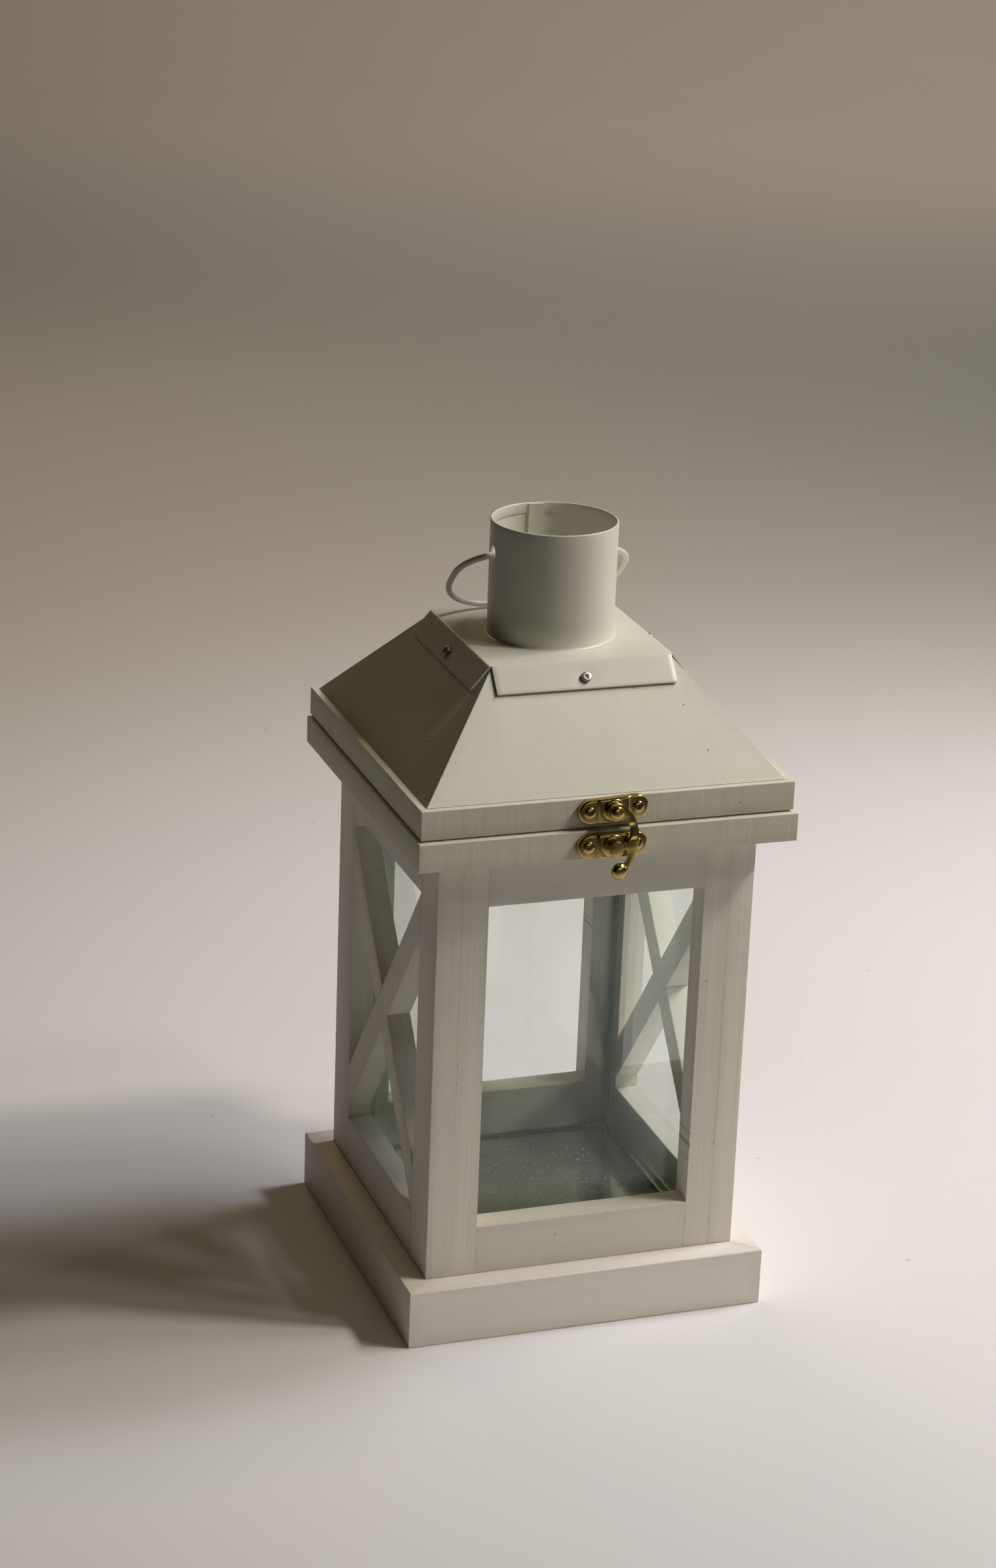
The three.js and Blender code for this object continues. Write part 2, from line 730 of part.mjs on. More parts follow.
// The knuckle's round and its tongue of sheet, as a section in (distance out of the wood, height)
function knuckle(width) {
  const shape = new THREE.Shape();
  const wrap = knuckleRadius - leafSheet;
  shape.moveTo(-knuckleRadius, -knuckleRadius - gap - 0.8);
  shape.lineTo(-wrap, -knuckleRadius - gap - 0.8);
  shape.lineTo(-wrap, -Math.sqrt(knuckleRadius ** 2 - wrap ** 2));
  shape.absarc(0, 0, knuckleRadius, -Math.acos(-wrap / knuckleRadius), Math.PI, false);
  shape.holes.push(new THREE.Path().absarc(0, 0, knuckleBore, 0, 2 * Math.PI, true));
  const tube = new THREE.ExtrudeGeometry(shape, { depth: width, bevelEnabled: false, curveSegments: 8 });
  return tube.rotateX(Math.PI / 2).rotateZ(Math.PI / 2);
}

function hingeLeaf(knuckles) {
  const top = -knuckleRadius - gap;
  const half = hingeWidth / 2;
  const leaf = easedBoard(rectangle(-half, half, -leafHeight, top), leafSheet, 0.15);
  leaf.rotateX(Math.PI / 2).rotateZ(Math.PI).translate(0, -knuckleRadius, 0);
  const tubes = knuckles.map(([start, width]) => knuckle(width).translate(start, 0, 0));
  const screws = [-1, 1].map((side) =>
    panHead(hingeScrewHead, hingeScrewRise)
      .rotateX(-Math.PI / 2)
      .translate(side * hingeScrewX, leafSheet - knuckleRadius, (top - leafHeight) / 2),
  );
  return joinAll(leaf, ...tubes, ...screws);
}

function makeHinge(side, x) {
  const half = hingeWidth / 2;
  const outer = half - middleKnuckle / 2 - gap;
  const bodyLeaf = hingeLeaf([[-half, outer], [half - outer, outer]]);
  const lidLeaf = hingeLeaf([[-middleKnuckle / 2, middleKnuckle]]).applyMatrix4(
    new THREE.Matrix4().makeScale(1, 1, -1),
  );
  const pinEnd = half + gap;
  const pin = turnedOut(
    [
      [0, -pinEnd - pinHeadRise],
      [pinHeadRadius * 0.75, -pinEnd - pinHeadRise * 0.7],
      [pinHeadRadius, -pinEnd],
      [pinRadius, -pinEnd],
      [pinRadius, pinEnd],
      [pinHeadRadius, pinEnd],
      [pinHeadRadius * 0.75, pinEnd + pinHeadRise * 0.7],
      [0, pinEnd + pinHeadRise],
    ],
    16,
  ).rotateY(Math.PI / 2);
  const names = { body_leaf: bodyLeaf, lid_leaf: turnedFaces(lidLeaf), pin };
  for (const [part, geometry] of Object.entries(names)) {
    const name = "hinge_" + side + "_" + part;
    addPiece(name, geometry, brass, lantern).position.set(x, hingeAxisY, hingeAxisZ);
  }
}

// A mirrored geometry with its faces turned back to point outwards
function turnedFaces(geometry) {
  const places = geometry.attributes.position;
  const [a, b] = [new THREE.Vector3(), new THREE.Vector3()];
  for (let i = 0; i < places.count; i += 3) {
    a.fromBufferAttribute(places, i + 1);
    b.fromBufferAttribute(places, i + 2);
    places.setXYZ(i + 1, b.x, b.y, b.z);
    places.setXYZ(i + 2, a.x, a.y, a.z);
  }
  geometry.computeVertexNormals();
  return geometry;
}

makeBase();
makeWalls();
makeGlass();
makeCollar();
makeLidWood();
makeCap();
makeCapScrews();
makeChimney();
makeBail();
makePivotPlate();
makeKeeperPlate();
makeHook();
makeHinge("left", -hingeX);
makeHinge("right", hingeX);

export default lantern;
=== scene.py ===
# White candle lantern: wooden box, glass, hinged hip roof, sheet-metal cap and chimney, brass latch.
# Metres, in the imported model's own frame: +Z up, -Y is the front with the latch.
import math
import random

import bmesh
import bpy
from mathutils import Matrix, Vector, noise


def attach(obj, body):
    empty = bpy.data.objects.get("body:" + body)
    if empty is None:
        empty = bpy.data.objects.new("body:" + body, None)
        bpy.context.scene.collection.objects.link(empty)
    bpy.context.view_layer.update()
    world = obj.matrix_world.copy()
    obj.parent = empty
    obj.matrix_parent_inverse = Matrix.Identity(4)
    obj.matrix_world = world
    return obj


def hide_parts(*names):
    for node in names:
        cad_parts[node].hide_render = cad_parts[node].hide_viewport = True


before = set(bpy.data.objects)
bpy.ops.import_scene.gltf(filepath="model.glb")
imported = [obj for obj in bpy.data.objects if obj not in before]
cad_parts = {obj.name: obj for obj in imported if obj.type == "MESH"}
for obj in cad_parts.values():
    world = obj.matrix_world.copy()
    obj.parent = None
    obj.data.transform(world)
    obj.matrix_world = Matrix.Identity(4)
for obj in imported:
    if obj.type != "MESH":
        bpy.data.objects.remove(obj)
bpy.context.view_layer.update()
print("frame loaded with", len(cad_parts), "nodes")

mm = 0.001
seed = 11
dice = random.Random(seed)
noise.seed_set(seed)   # left alone, noise_vector starts from the clock
sides = ["front", "right", "back", "left"]


def metres(size):
    # sizes are written in millimetres: a number, a row of them, or a dictionary of them
    if isinstance(size, dict):
        return {name: metres(value) for name, value in size.items()}
    if isinstance(size, (list, tuple)):
        return type(size)(metres(value) for value in size)
    return size * mm


# a socket that does sums, and a material that makes its own nodes
class Value:
    def __init__(self, finish, socket):
        self.finish = finish
        self.socket = socket

    def sum(self, operation, *terms):
        return self.finish.node("Math", {"operation": operation}, dict(enumerate(terms)))

    def __add__(self, other):
        return self.sum("ADD", self, other)

    def __radd__(self, other):
        return self.sum("ADD", other, self)

    def __sub__(self, other):
        return self.sum("SUBTRACT", self, other)

    def __rsub__(self, other):
        return self.sum("SUBTRACT", other, self)

    def __mul__(self, other):
        return self.sum("MULTIPLY", self, other)

    def __rmul__(self, other):
        return self.sum("MULTIPLY", other, self)

    def __pow__(self, other):
        return self.sum("POWER", self, other)

    def least(self, other):
        return self.sum("MINIMUM", self, other)

    def most(self, other):
        return self.sum("MAXIMUM", self, other)

    def between(self, low, high):
        # 0 below low, 1 above high, smooth in between; low may be the larger one
        steps = {"Value": self, "From Min": low, "From Max": high}
        return self.finish.node("MapRange", {"interpolation_type": "SMOOTHSTEP"}, steps)


class Finish:
    def __init__(self, name):
        self.material = bpy.data.materials.new(name)
        self.material.use_nodes = True
        self.tree = self.material.node_tree
        self.tree.nodes.clear()

    def node(self, kind, settings=None, sockets=None, out=0):
        made = self.tree.nodes.new("ShaderNode" + kind)
        for key, setting in (settings or {}).items():
            if key == "stops":
                ramp = made.color_ramp.elements
                while len(ramp) < len(setting):
                    ramp.new(0.5)
                for stop, (place, colour) in zip(ramp, setting):
                    stop.position = place
                    stop.color = (*colour, 1)
            else:
                setattr(made, key, setting)
        for key, given in (sockets or {}).items():
            if isinstance(given, Value):
                self.tree.links.new(given.socket, made.inputs[key])
            else:
                made.inputs[key].default_value = given
        return Value(self, made.outputs[out] if made.outputs else None)

    def spot(self, scale=(1, 1, 1)):
        # place on the object in metres, stretched by scale
        return self.node("Mapping", {}, {"Vector": self.node("TexCoord", out="Object"), "Scale": scale})

    def carried(self, name, out="Vector"):
        return self.node("Attribute", {"attribute_name": name}, out=out)

    def cloud(self, place, scale, detail=3.0, rough=0.5, warp=0.0):
        return self.node("TexNoise", {}, {
            "Vector": place, "Scale": scale, "Detail": detail, "Roughness": rough, "Distortion": warp,
        })

    def drawn(self, place, scale, detail, rough, warp=0.0):
        # clouds drawn out along the board or across it
        place = self.node("VectorMath", {"operation": "MULTIPLY"}, {0: place, 1: scale})
        return self.cloud(place, 1.0, detail, rough, warp)

    def tint(self, amount, first, second):
        first, second = ((*colour, 1) if isinstance(colour, tuple) else colour for colour in (first, second))
        return self.node("Mix", {"data_type": "RGBA"}, {0: amount, 6: first, 7: second}, out=2)

    def relief(self, height, strength, distance):
        return self.node("Bump", {}, {"Height": height, "Strength": strength, "Distance": distance})

    def shine(self, sockets):
        self.end(self.node("BsdfPrincipled", {}, sockets))
        return self.material

    def end(self, shader):
        self.node("OutputMaterial", {}, {"Surface": shader})
        return self.material


# colours and finishes, all read from the place on the object or from the board's own attributes
paint = {
    "wood": (0.735, 0.715, 0.600),
    "thin": (0.65, 0.615, 0.495),
    "soiled": (0.46, 0.41, 0.30),
    "fleck": (0.15, 0.12, 0.085),
    "grey": (0.70, 0.69, 0.60),
}


def paintedWood(name, streaks, chatter, white=(1, 1, 1), seams=0.0):
    # streaks: strength of the grain lines along the board; chatter: of the planer marks across it
    # white: a factor on the paint's colour, larger for the posts, rails, roof and base than for the bars;
    # seams: dark nicks along the glued side of a post
    f = Finish(name)
    grain = f.carried("grain")
    lines = f.drawn(grain, (14, 900, 900), 4.0, 0.6)
    broad = f.drawn(grain, (5, 170, 170), 3.0, 0.55)
    marks = f.drawn(grain, (210, 12, 12), 2.0, 0.5, 0.4)
    fine = f.drawn(grain, (1500, 130, 130), 2.0, 0.5)
    patchy = f.cloud(grain, 23.0, 3.0, 0.55)
    peel = f.cloud(grain, 1250.0, 2.0, 0.5)
    fleck = f.cloud(grain, 330.0, 1.0, 0.4).between(0.79, 0.83)
    # distance to the nearest edge of the board, from the distances to its six faces
    faces = {0: f.carried("faceNear"), 1: f.carried("faceFar")}
    nearest = f.node("VectorMath", {"operation": "MINIMUM"}, faces)
    x, y, z = (f.node("SeparateXYZ", {}, {0: nearest}, out=axis) for axis in range(3))
    edge = x.least(y).most(x.most(y).least(z))
    joint = x.between(0.5 * mm, 0.1 * mm) * lines.between(0.42, 0.62)
    dashes = f.drawn(grain, (420, 1, 1), 1.0, 0.5).between(0.60, 0.64)
    stretch = f.drawn(grain, (17, 1, 1), 1.0, 0.5).between(0.55, 0.6)
    cracked = y.between(0.30 * mm, 0.16 * mm) * dashes * stretch * seams
    rubbed = (edge + (patchy - 0.5) * mm * 2.2).between(0.75 * mm, 0.1 * mm)
    settled = (edge + (broad - 0.5) * mm * 9).between(6 * mm, 0.5 * mm)
    fresh, grey = (tuple(a * b for a, b in zip(white, paint[tone])) for tone in ("wood", "grey"))
    colour = f.tint(patchy.between(0.3, 0.75) * 0.45, fresh, grey)
    colour = f.tint(lines.between(0.5, 0.75) * streaks * 0.5, colour, paint["thin"])
    colour = f.tint(marks.between(0.45, 0.8) * chatter * 0.35, colour, paint["thin"])
    colour = f.tint(settled * 0.10, colour, paint["soiled"])
    colour = f.tint(rubbed * 0.16, colour, paint["thin"])
    colour = f.tint(joint * 0.22, colour, paint["soiled"])
    colour = f.tint((fleck + cracked).least(1.0) * 0.5, colour, paint["fleck"])
    height = lines * streaks * 0.5 + broad * streaks * 0.5 + marks * chatter + fine * chatter * 0.07
    height = height + peel * (0.22 + chatter * 0.22)
    return f.shine({
        "Base Color": colour,
        "Roughness": 0.50 + lines * 0.08 + patchy * 0.10 - rubbed * 0.12,
        "Normal": f.relief(height - fleck * 0.6, 0.45, 0.25 * mm),
        "Specular IOR Level": 0.35,
    })


def paintedSheet(name, dented):
    f = Finish(name)
    place = f.spot()
    peel = f.cloud(place, 900.0, 2.0, 0.5)
    patchy = f.cloud(place, 34.0, 3.0, 0.6)
    dust = f.cloud(place, 420.0, 2.0, 0.5).between(0.63, 0.72)
    fleck = f.cloud(place, 300.0, 1.0, 0.4).between(0.80, 0.84)
    wear = f.carried("wear", "Fac")
    thin = (wear + (patchy - 0.5) * 0.7).between(0.62, 0.95)
    colour = f.tint(patchy.between(0.35, 0.7) * 0.5, (0.74, 0.725, 0.625), (0.71, 0.70, 0.615))
    colour = f.tint(dust * 0.2, colour, (0.62, 0.58, 0.49))
    colour = f.tint(fleck * 0.4, colour, paint["fleck"])
    colour = f.tint(thin * 0.30, colour, (0.60, 0.57, 0.50))
    height = peel * 0.25 + patchy * dented - fleck * 0.5
    return f.shine({
        "Base Color": colour,
        "Roughness": 0.36 + patchy * 0.10 + dust * 0.18,
        "Normal": f.relief(height, 0.35, 0.2 * mm),
        "Coat Weight": 0.10 - dust * 0.08,
        "Coat Roughness": 0.22,
    })


def rawBoard():
    f = Finish("rawBoard")
    grain = f.carried("grain")
    rings = f.drawn(grain, (9, 260, 60), 5.0, 0.65, 0.8)
    pores = f.drawn(grain, (120, 2600, 2600), 2.0, 0.5)
    colour = f.node("ValToRGB", {"stops": [
        (0.30, (0.52, 0.38, 0.23)), (0.52, (0.43, 0.30, 0.17)), (0.70, (0.33, 0.22, 0.12)),
    ]}, {"Fac": rings})
    colour = f.tint(pores.between(0.55, 0.7) * 0.5, colour, (0.20, 0.13, 0.07))
    return f.shine({
        "Base Color": colour,
        "Roughness": 0.72 + pores * 0.15,
        "Normal": f.relief(rings * 0.5 + pores, 0.5, 0.3 * mm),
    })


def reflectorSheet():
    f = Finish("reflectorSheet")
    place = f.spot()
    brushed = f.cloud(f.spot((40, 2200, 200)), 1.0, 2.0, 0.5)
    cloudy = f.cloud(place, 45.0, 4.0, 0.6)
    dust = f.cloud(place, 700.0, 3.0, 0.7).between(0.57, 0.72)
    crumbs = f.cloud(place, 520.0, 1.0, 0.3).between(0.765, 0.78)
    edge = f.carried("wear", "Fac")
    dull = (dust * 0.5 + cloudy.between(0.45, 0.75) * 0.35 + edge * 0.5).least(1.0)
    colour = f.tint(dull, (0.53, 0.60, 0.55), (0.40, 0.42, 0.37))
    colour = f.tint(crumbs * 0.9, colour, (0.05, 0.04, 0.03))
    return f.shine({
        "Base Color": colour,
        "Metallic": 0.92 - dust * 0.45 - crumbs * 0.5,
        "Roughness": 0.10 + brushed * 0.05 + dull * 0.22,
        "Normal": f.relief(cloudy * 0.35 + crumbs * 0.4, 0.2, 0.4 * mm),
    })


def paneGlass():
    f = Finish("paneGlass")
    place = f.spot()
    ripple = f.relief(f.cloud(place, 16.0, 1.0, 0.4), 0.05, 1 * mm)
    smear = f.cloud(place, 60.0, 4.0, 0.65).between(0.52, 0.78)
    specks = f.cloud(place, 800.0, 2.0, 0.5).between(0.70, 0.76)
    slant = f.node("LayerWeight", {}, {"Blend": 0.5, "Normal": ripple}, out="Facing")
    gloss = slant ** 5 * 0.96 + 0.04
    straight = f.node("BsdfTransparent", {}, {"Color": (0.990, 0.998, 0.994, 1)})
    slanting = f.node("BsdfTransparent", {}, {"Color": (0.955, 0.985, 0.970, 1)})
    clear = f.node("MixShader", {}, {0: slant ** 2, 1: straight, 2: slanting})
    glossy = f.node("BsdfGlossy", {}, {"Color": (0.95, 1.0, 0.97, 1), "Roughness": 0.03, "Normal": ripple})
    glazed = f.node("MixShader", {}, {0: gloss, 1: clear, 2: glossy})
    film = f.node("BsdfDiffuse", {}, {"Color": (0.72, 0.74, 0.68, 1)})
    return f.end(f.node("MixShader", {}, {0: smear * 0.020 + specks * 0.10 + 0.004, 1: glazed, 2: film}))


def cutGlass():
    f = Finish("cutGlass")
    chips = f.cloud(f.spot(), 500.0, 3.0, 0.6)
    return f.shine({
        "Base Color": f.tint(chips.between(0.45, 0.7), (0.035, 0.105, 0.07), (0.10, 0.21, 0.15)),
        "Roughness": 0.12 + chips * 0.25,
        "Normal": f.relief(chips, 0.3, 0.2 * mm),
    })


def polishedBrass(name, bright, dull):
    f = Finish(name)
    place = f.spot()
    patina = f.cloud(place, 260.0, 4.0, 0.6)
    scuffs = f.cloud(f.spot((600, 4200, 900)), 1.0, 2.0, 0.6)
    # painted shade: near-black brass in the screw crosses, the hook's hole, under the stud head and along the
    # foot of the plates, less on the bosses and creases
    paintedShade = f.carried("wear", "Fac")
    colour = f.tint(patina.between(0.4, 0.75) * 0.6, bright, dull)
    colour = f.tint(paintedShade * 0.85, colour, (0.10, 0.055, 0.018))
    return f.shine({
        "Base Color": colour,
        "Metallic": 1.0,
        "Roughness": 0.15 + scuffs * 0.07 + patina * 0.07 + paintedShade * 0.22,
        "Normal": f.relief(scuffs * 0.3 + patina * 0.8, 0.16, 0.15 * mm),
        "Coat Weight": 0.25 - paintedShade * 0.2,
        "Coat Roughness": 0.08,
    })


def zincScrew():
    f = Finish("zincScrew")
    stain = f.cloud(f.spot(), 900.0, 3.0, 0.6)
    # painted shade: the cut faces of the screw's cross are painted near black and less metallic
    paintedShade = f.carried("wear", "Fac")
    colour = f.tint(stain.between(0.4, 0.7), (0.46, 0.45, 0.39), (0.27, 0.26, 0.21))
    colour = f.tint(paintedShade * 0.85, colour, (0.05, 0.045, 0.035))
    return f.shine({
        "Base Color": colour,
        "Metallic": 0.95 - paintedShade * 0.5,
        "Roughness": 0.30 + stain * 0.18,
        "Normal": f.relief(stain, 0.2, 0.1 * mm),
    })


def paperSweep():
    f = Finish("paperSweep")
    place = f.spot()
    fibre = f.cloud(place, 900.0, 3.0, 0.6)
    mottled = f.cloud(place, 5.0, 3.0, 0.55)
    crumbs = f.cloud(place, 130.0, 1.0, 0.3).between(0.82, 0.835)
    # painted shade: the paper turns near black towards the front, from 0.40 to 0.55 m out, standing for the
    # dark room that the brass reflects
    depthForPaintedShade = f.node("SeparateXYZ", {}, {0: place}, out=1)
    colour = f.tint(mottled, (0.80, 0.785, 0.78), (0.775, 0.76, 0.752))
    colour = f.tint(crumbs * 0.4, colour, (0.30, 0.24, 0.17))
    colour = f.tint(depthForPaintedShade.between(-0.40, -0.55), colour, (0.035, 0.032, 0.028))
    return f.shine({
        "Base Color": colour,
        "Roughness": 0.85,
        "Specular IOR Level": 0.2,
        "Normal": f.relief(fibre, 0.12, 0.3 * mm),
    })


finishes = {
    "bars": paintedWood("paintedBars", 0.25, 1.5),
    "posts": paintedWood("paintedPosts", 0.9, 0.15, (1.15, 1.13, 1.20)),
    "seamed": paintedWood("paintedSeams", 0.9, 0.15, (1.15, 1.13, 1.20), 1.0),
    "rails": paintedWood("paintedRails", 0.7, 0.2, (1.04, 1.03, 1.10)),
    "roof": paintedWood("paintedRoof", 0.3, 0.25, (1.08, 1.08, 1.08)),
    "base": paintedWood("paintedBase", 0.35, 0.15, (1.16, 1.13, 1.24)),
    "board": rawBoard(),
    "cap": paintedSheet("paintedCap", 0.9),
    "tube": paintedSheet("paintedTube", 0.5),
    "wire": paintedSheet("paintedWire", 0.3),
    "reflector": reflectorSheet(),
    "glass": paneGlass(),
    "cutGlass": cutGlass(),
    "brass": polishedBrass("polishedBrass", (0.55, 0.43, 0.14), (0.39, 0.29, 0.08)),
    "screwBrass": polishedBrass("screwBrass", (0.50, 0.35, 0.16), (0.34, 0.21, 0.09)),
    "zinc": zincScrew(),
    "paper": paperSweep(),
}
print("finishes made:", len(finishes))


def settled(bm, name, body, slot, *looks, angle=35, stands=True):
    # the finished mesh becomes a piece that rides on a body, and most stand for the CAD node of their name
    mesh = bpy.data.meshes.new(name)
    bm.to_mesh(mesh)
    bm.free()
    for look in looks:
        mesh.materials.append(finishes[look])
    mesh.shade_smooth()
    mesh.set_sharp_from_angle(angle=math.radians(angle))
    piece = bpy.data.objects.new(name, mesh)
    bpy.context.scene.collection.objects.link(piece)
    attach(piece, body)
    if stands:
        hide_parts(name)


def outward(bm):
    bmesh.ops.recalc_face_normals(bm, faces=bm.faces)


def tidied(bm, merge=0.004 * mm):
    bmesh.ops.remove_doubles(bm, verts=bm.verts, dist=merge)
    outward(bm)


def moved(bm, *step):
    bmesh.ops.translate(bm, verts=bm.verts, vec=step)


def swung(bm, angle, axis):
    bmesh.ops.rotate(bm, verts=bm.verts, cent=(0, 0, 0), matrix=Matrix.Rotation(angle, 3, axis))


def placed(bm, matrix):
    bmesh.ops.transform(bm, matrix=matrix, verts=bm.verts)


def rounded(bm, edges, radius, segments=3):
    bmesh.ops.bevel(bm, geom=edges, offset=radius, segments=segments, profile=0.5,
                    affect="EDGES", material=-1, clamp_overlap=True)


def sliced(bm, place, normal, near=1e-6, clear=False):
    # a plane through the whole mesh; with clear, what lies beyond it goes and the cut is closed
    whole = bm.verts[:] + bm.edges[:] + bm.faces[:]
    cut = bmesh.ops.bisect_plane(bm, geom=whole, dist=near, plane_co=place, plane_no=normal,
                                 clear_outer=clear)
    if clear:
        rim = [part for part in cut["geom_cut"] if isinstance(part, bmesh.types.BMEdge)]
        bmesh.ops.contextual_create(bm, geom=rim)


def block(width, depth, height):
    bm = bmesh.new()
    bmesh.ops.create_cube(bm, size=1)
    bmesh.ops.scale(bm, verts=bm.verts, vec=(width, depth, height))
    return bm


def rod(radius, length, segments):
    bm = bmesh.new()
    bmesh.ops.create_cone(bm, cap_ends=True, segments=segments, radius1=radius, radius2=radius, depth=length)
    return bm


def turned(profile, segments, merge=0.004 * mm):
    # a profile of (radius, height) spun about +Z
    bm = bmesh.new()
    points = [bm.verts.new((radius, 0, height)) for radius, height in profile]
    wire = [bm.edges.new(pair) for pair in zip(points, points[1:])]
    bmesh.ops.spin(bm, geom=points + wire, cent=(0, 0, 0), axis=(0, 0, 1), angle=2 * math.pi, steps=segments,
                   use_merge=True, use_duplicate=False)
    tidied(bm, merge)
    return bm


def bent(bm, tip, moves):
    # the tip is pushed along straight runs, ("run", step, count),
    # and round bends, ("bend", centre, axis, angle, count)
    for kind, *how in moves:
        if kind == "run":
            step, count = how
            made = bmesh.ops.spin(bm, geom=tip, cent=(0, 0, 0), axis=(0, 0, 1), angle=0, steps=count,
                                  dvec=Vector(step) / count)
        else:
            centre, axis, angle, count = how
            made = bmesh.ops.spin(bm, geom=tip, cent=centre, axis=axis, angle=math.radians(angle), steps=count)
        tip = made["geom_last"]


def thickened(bm, face, depth):
    grown = bmesh.ops.extrude_face_region(bm, geom=[face], use_keep_orig=True)["geom"]
    lifted = [part for part in grown if isinstance(part, bmesh.types.BMVert)]
    bmesh.ops.translate(bm, verts=lifted, vec=depth)
    outward(bm)


def carve(mesh, tool, operation="DIFFERENCE"):
    # cuts one mesh by another; the cut faces keep the tool's own value for wear and painted shade
    work = bpy.data.objects.new("work", mesh)
    knife = bpy.data.objects.new("knife", tool)
    for helper in (work, knife):
        bpy.context.scene.collection.objects.link(helper)
    cutter = work.modifiers.new("cut", "BOOLEAN")
    cutter.operation = operation
    cutter.solver = "EXACT"
    cutter.object = knife
    cut = bpy.data.meshes.new_from_object(work.evaluated_get(bpy.context.evaluated_depsgraph_get()))
    for helper in (work, knife):
        bpy.data.objects.remove(helper)
    return cut


def meshOf(bm, wear=0.0):
    # the attribute carries paint wear and soiling on the sheets and painted shade on the brass and zinc
    layer = bm.verts.layers.float.get("wear") or bm.verts.layers.float.new("wear")
    if wear:
        for vert in bm.verts:
            vert[layer] = wear
    mesh = bpy.data.meshes.new("part")
    bm.to_mesh(mesh)
    bm.free()
    return mesh


def started(mesh):
    bm = bmesh.new()
    bm.from_mesh(mesh)
    return bm


def quarterTurn(quarter):
    return Matrix.Rotation(quarter * math.pi / 2, 4, "Z")


def smooth(value, low, high):
    share = min(1.0, max(0.0, (value - low) / (high - low)))
    return share * share * (3 - 2 * share)


# boards: a blank cut by six planes, given as ends, edges and faces
board = metres({
    "blank": 600,
    "grow": 0.147,   # closes the CAD's gap of 0.3 mm between glued pieces
    "mitre": 0.21,   # a mitred end stands back from its corner by the same gap
    "station": 3,    # loops along the run, for edges that are not dead straight
    "waver": 0.07,
    "fade": 6,       # no waver at the glued ends
    "joint": 0.05,
})


def hewn(name, planes, run, out, glued, look, body="body", slot="white_wood", ease=0.45 * mm):
    # planes: six of (point, outward normal), in pairs; glued: numbers of the planes that meet a neighbour
    bm = bmesh.new()
    bmesh.ops.create_cube(bm, size=board["blank"])
    planes = [(Vector(point), Vector(normal).normalized()) for point, normal in planes]
    for number, (point, normal) in enumerate(planes):
        grown = point + normal * (board["grow"] if number in glued else 0)
        sliced(bm, grown, normal, 1e-7, clear=True)
    outward(bm)

    joints = [planes[number][1] for number in glued]

    def isJoint(face):
        return any(face.normal.dot(normal) > 0.9999 for normal in joints)

    outer = [edge for edge in bm.edges if not any(isJoint(face) for face in edge.link_faces)]
    rounded(bm, outer, ease, 3)
    seams = [edge for edge in bm.edges if sum(isJoint(face) for face in edge.link_faces) == 1]
    rounded(bm, seams, board["joint"], 1)

    run, out = Vector(run).normalized(), Vector(out).normalized()
    across = out.cross(run)
    reach = [vert.co.dot(run) for vert in bm.verts]
    low, high = min(reach), max(reach)
    loops = int((high - low) / board["station"])
    for step in range(1, loops):
        sliced(bm, run * (low + (high - low) * step / loops), run)

    shift = Vector((dice.uniform(-3, 3), dice.uniform(-3, 3), dice.uniform(-3, 3)))  # each board's own grain
    grain = bm.verts.layers.float_vector.new("grain")
    near = bm.verts.layers.float_vector.new("faceNear")
    far = bm.verts.layers.float_vector.new("faceFar")
    for vert in bm.verts:
        depth = [(point - vert.co).dot(normal) for point, normal in planes]
        vert[grain] = Vector((vert.co.dot(run), vert.co.dot(across), vert.co.dot(out))) + shift
        vert[near] = Vector(depth[0::2])
        vert[far] = Vector(depth[1::2])
        loose = smooth(min(depth[number] for number in glued), 0, board["fade"])
        rough = noise.noise_vector((vert.co + shift) * 260) + noise.noise_vector((vert.co + shift) * 1100) * 0.5
        vert.co += (rough - rough.dot(run) * run) * board["waver"] * loose
        for number, (point, normal) in enumerate(planes):
            if number not in glued:
                vert.co -= normal * max(0.0, (vert.co - point).dot(normal))
    settled(bm, name, body, slot, look, angle=30)


def inQuarter(quarter, planes, shift=(0, 0, 0)):
    turn = quarterTurn(quarter)
    return [(turn @ Vector(point) + Vector(shift), turn.to_3x3() @ Vector(normal)) for point, normal in planes]


def mitredBars(prefix, size, look, ease, body="body", shift=0.0):
    # four bars round a rectangle, each drawn as the front one and turned
    for quarter, side in enumerate(sides):
        runHalf, outHalf = (size["halfY"], size["halfX"]) if quarter % 2 else (size["halfX"], size["halfY"])
        planes = [
            ((board["mitre"] - runHalf, -outHalf, 0), (-1, 1, 0)),
            ((runHalf - board["mitre"], -outHalf, 0), (1, 1, 0)),
            ((0, 0, size["low"]), (0, 0, -1)),
            ((0, 0, size["high"]), (0, 0, 1)),
            ((0, -outHalf, 0), (0, -1, 0)),
            ((0, size["width"] - outHalf, 0), (0, 1, 0)),
        ]
        planes = inQuarter(quarter, planes, (0, shift, 0))
        turn = quarterTurn(quarter).to_3x3()
        hewn(prefix + "_" + side, planes, turn @ Vector((1, 0, 0)), turn @ Vector((0, -1, 0)), [0, 1], look,
             body=body, ease=ease)


base = metres({"halfX": 75, "halfY": 76, "low": 0, "high": 24, "width": 19})
collar = metres({"halfX": 77.25, "halfY": 77.25, "low": 202.6, "high": 214, "width": 22})
lidFrame = metres({"halfX": 76, "halfY": 76, "low": 214.7, "high": 226.4, "width": 22})
lidShift = 1.25 * mm   # the lid stands this far back, flush with the collar's back

mitredBars("base", base, "base", 0.6 * mm)
mitredBars("collar", collar, "bars", 0.35 * mm)
mitredBars("lid_frame", lidFrame, "bars", 0.25 * mm, body="lid", shift=lidShift)
print("base, collar and lid frame")

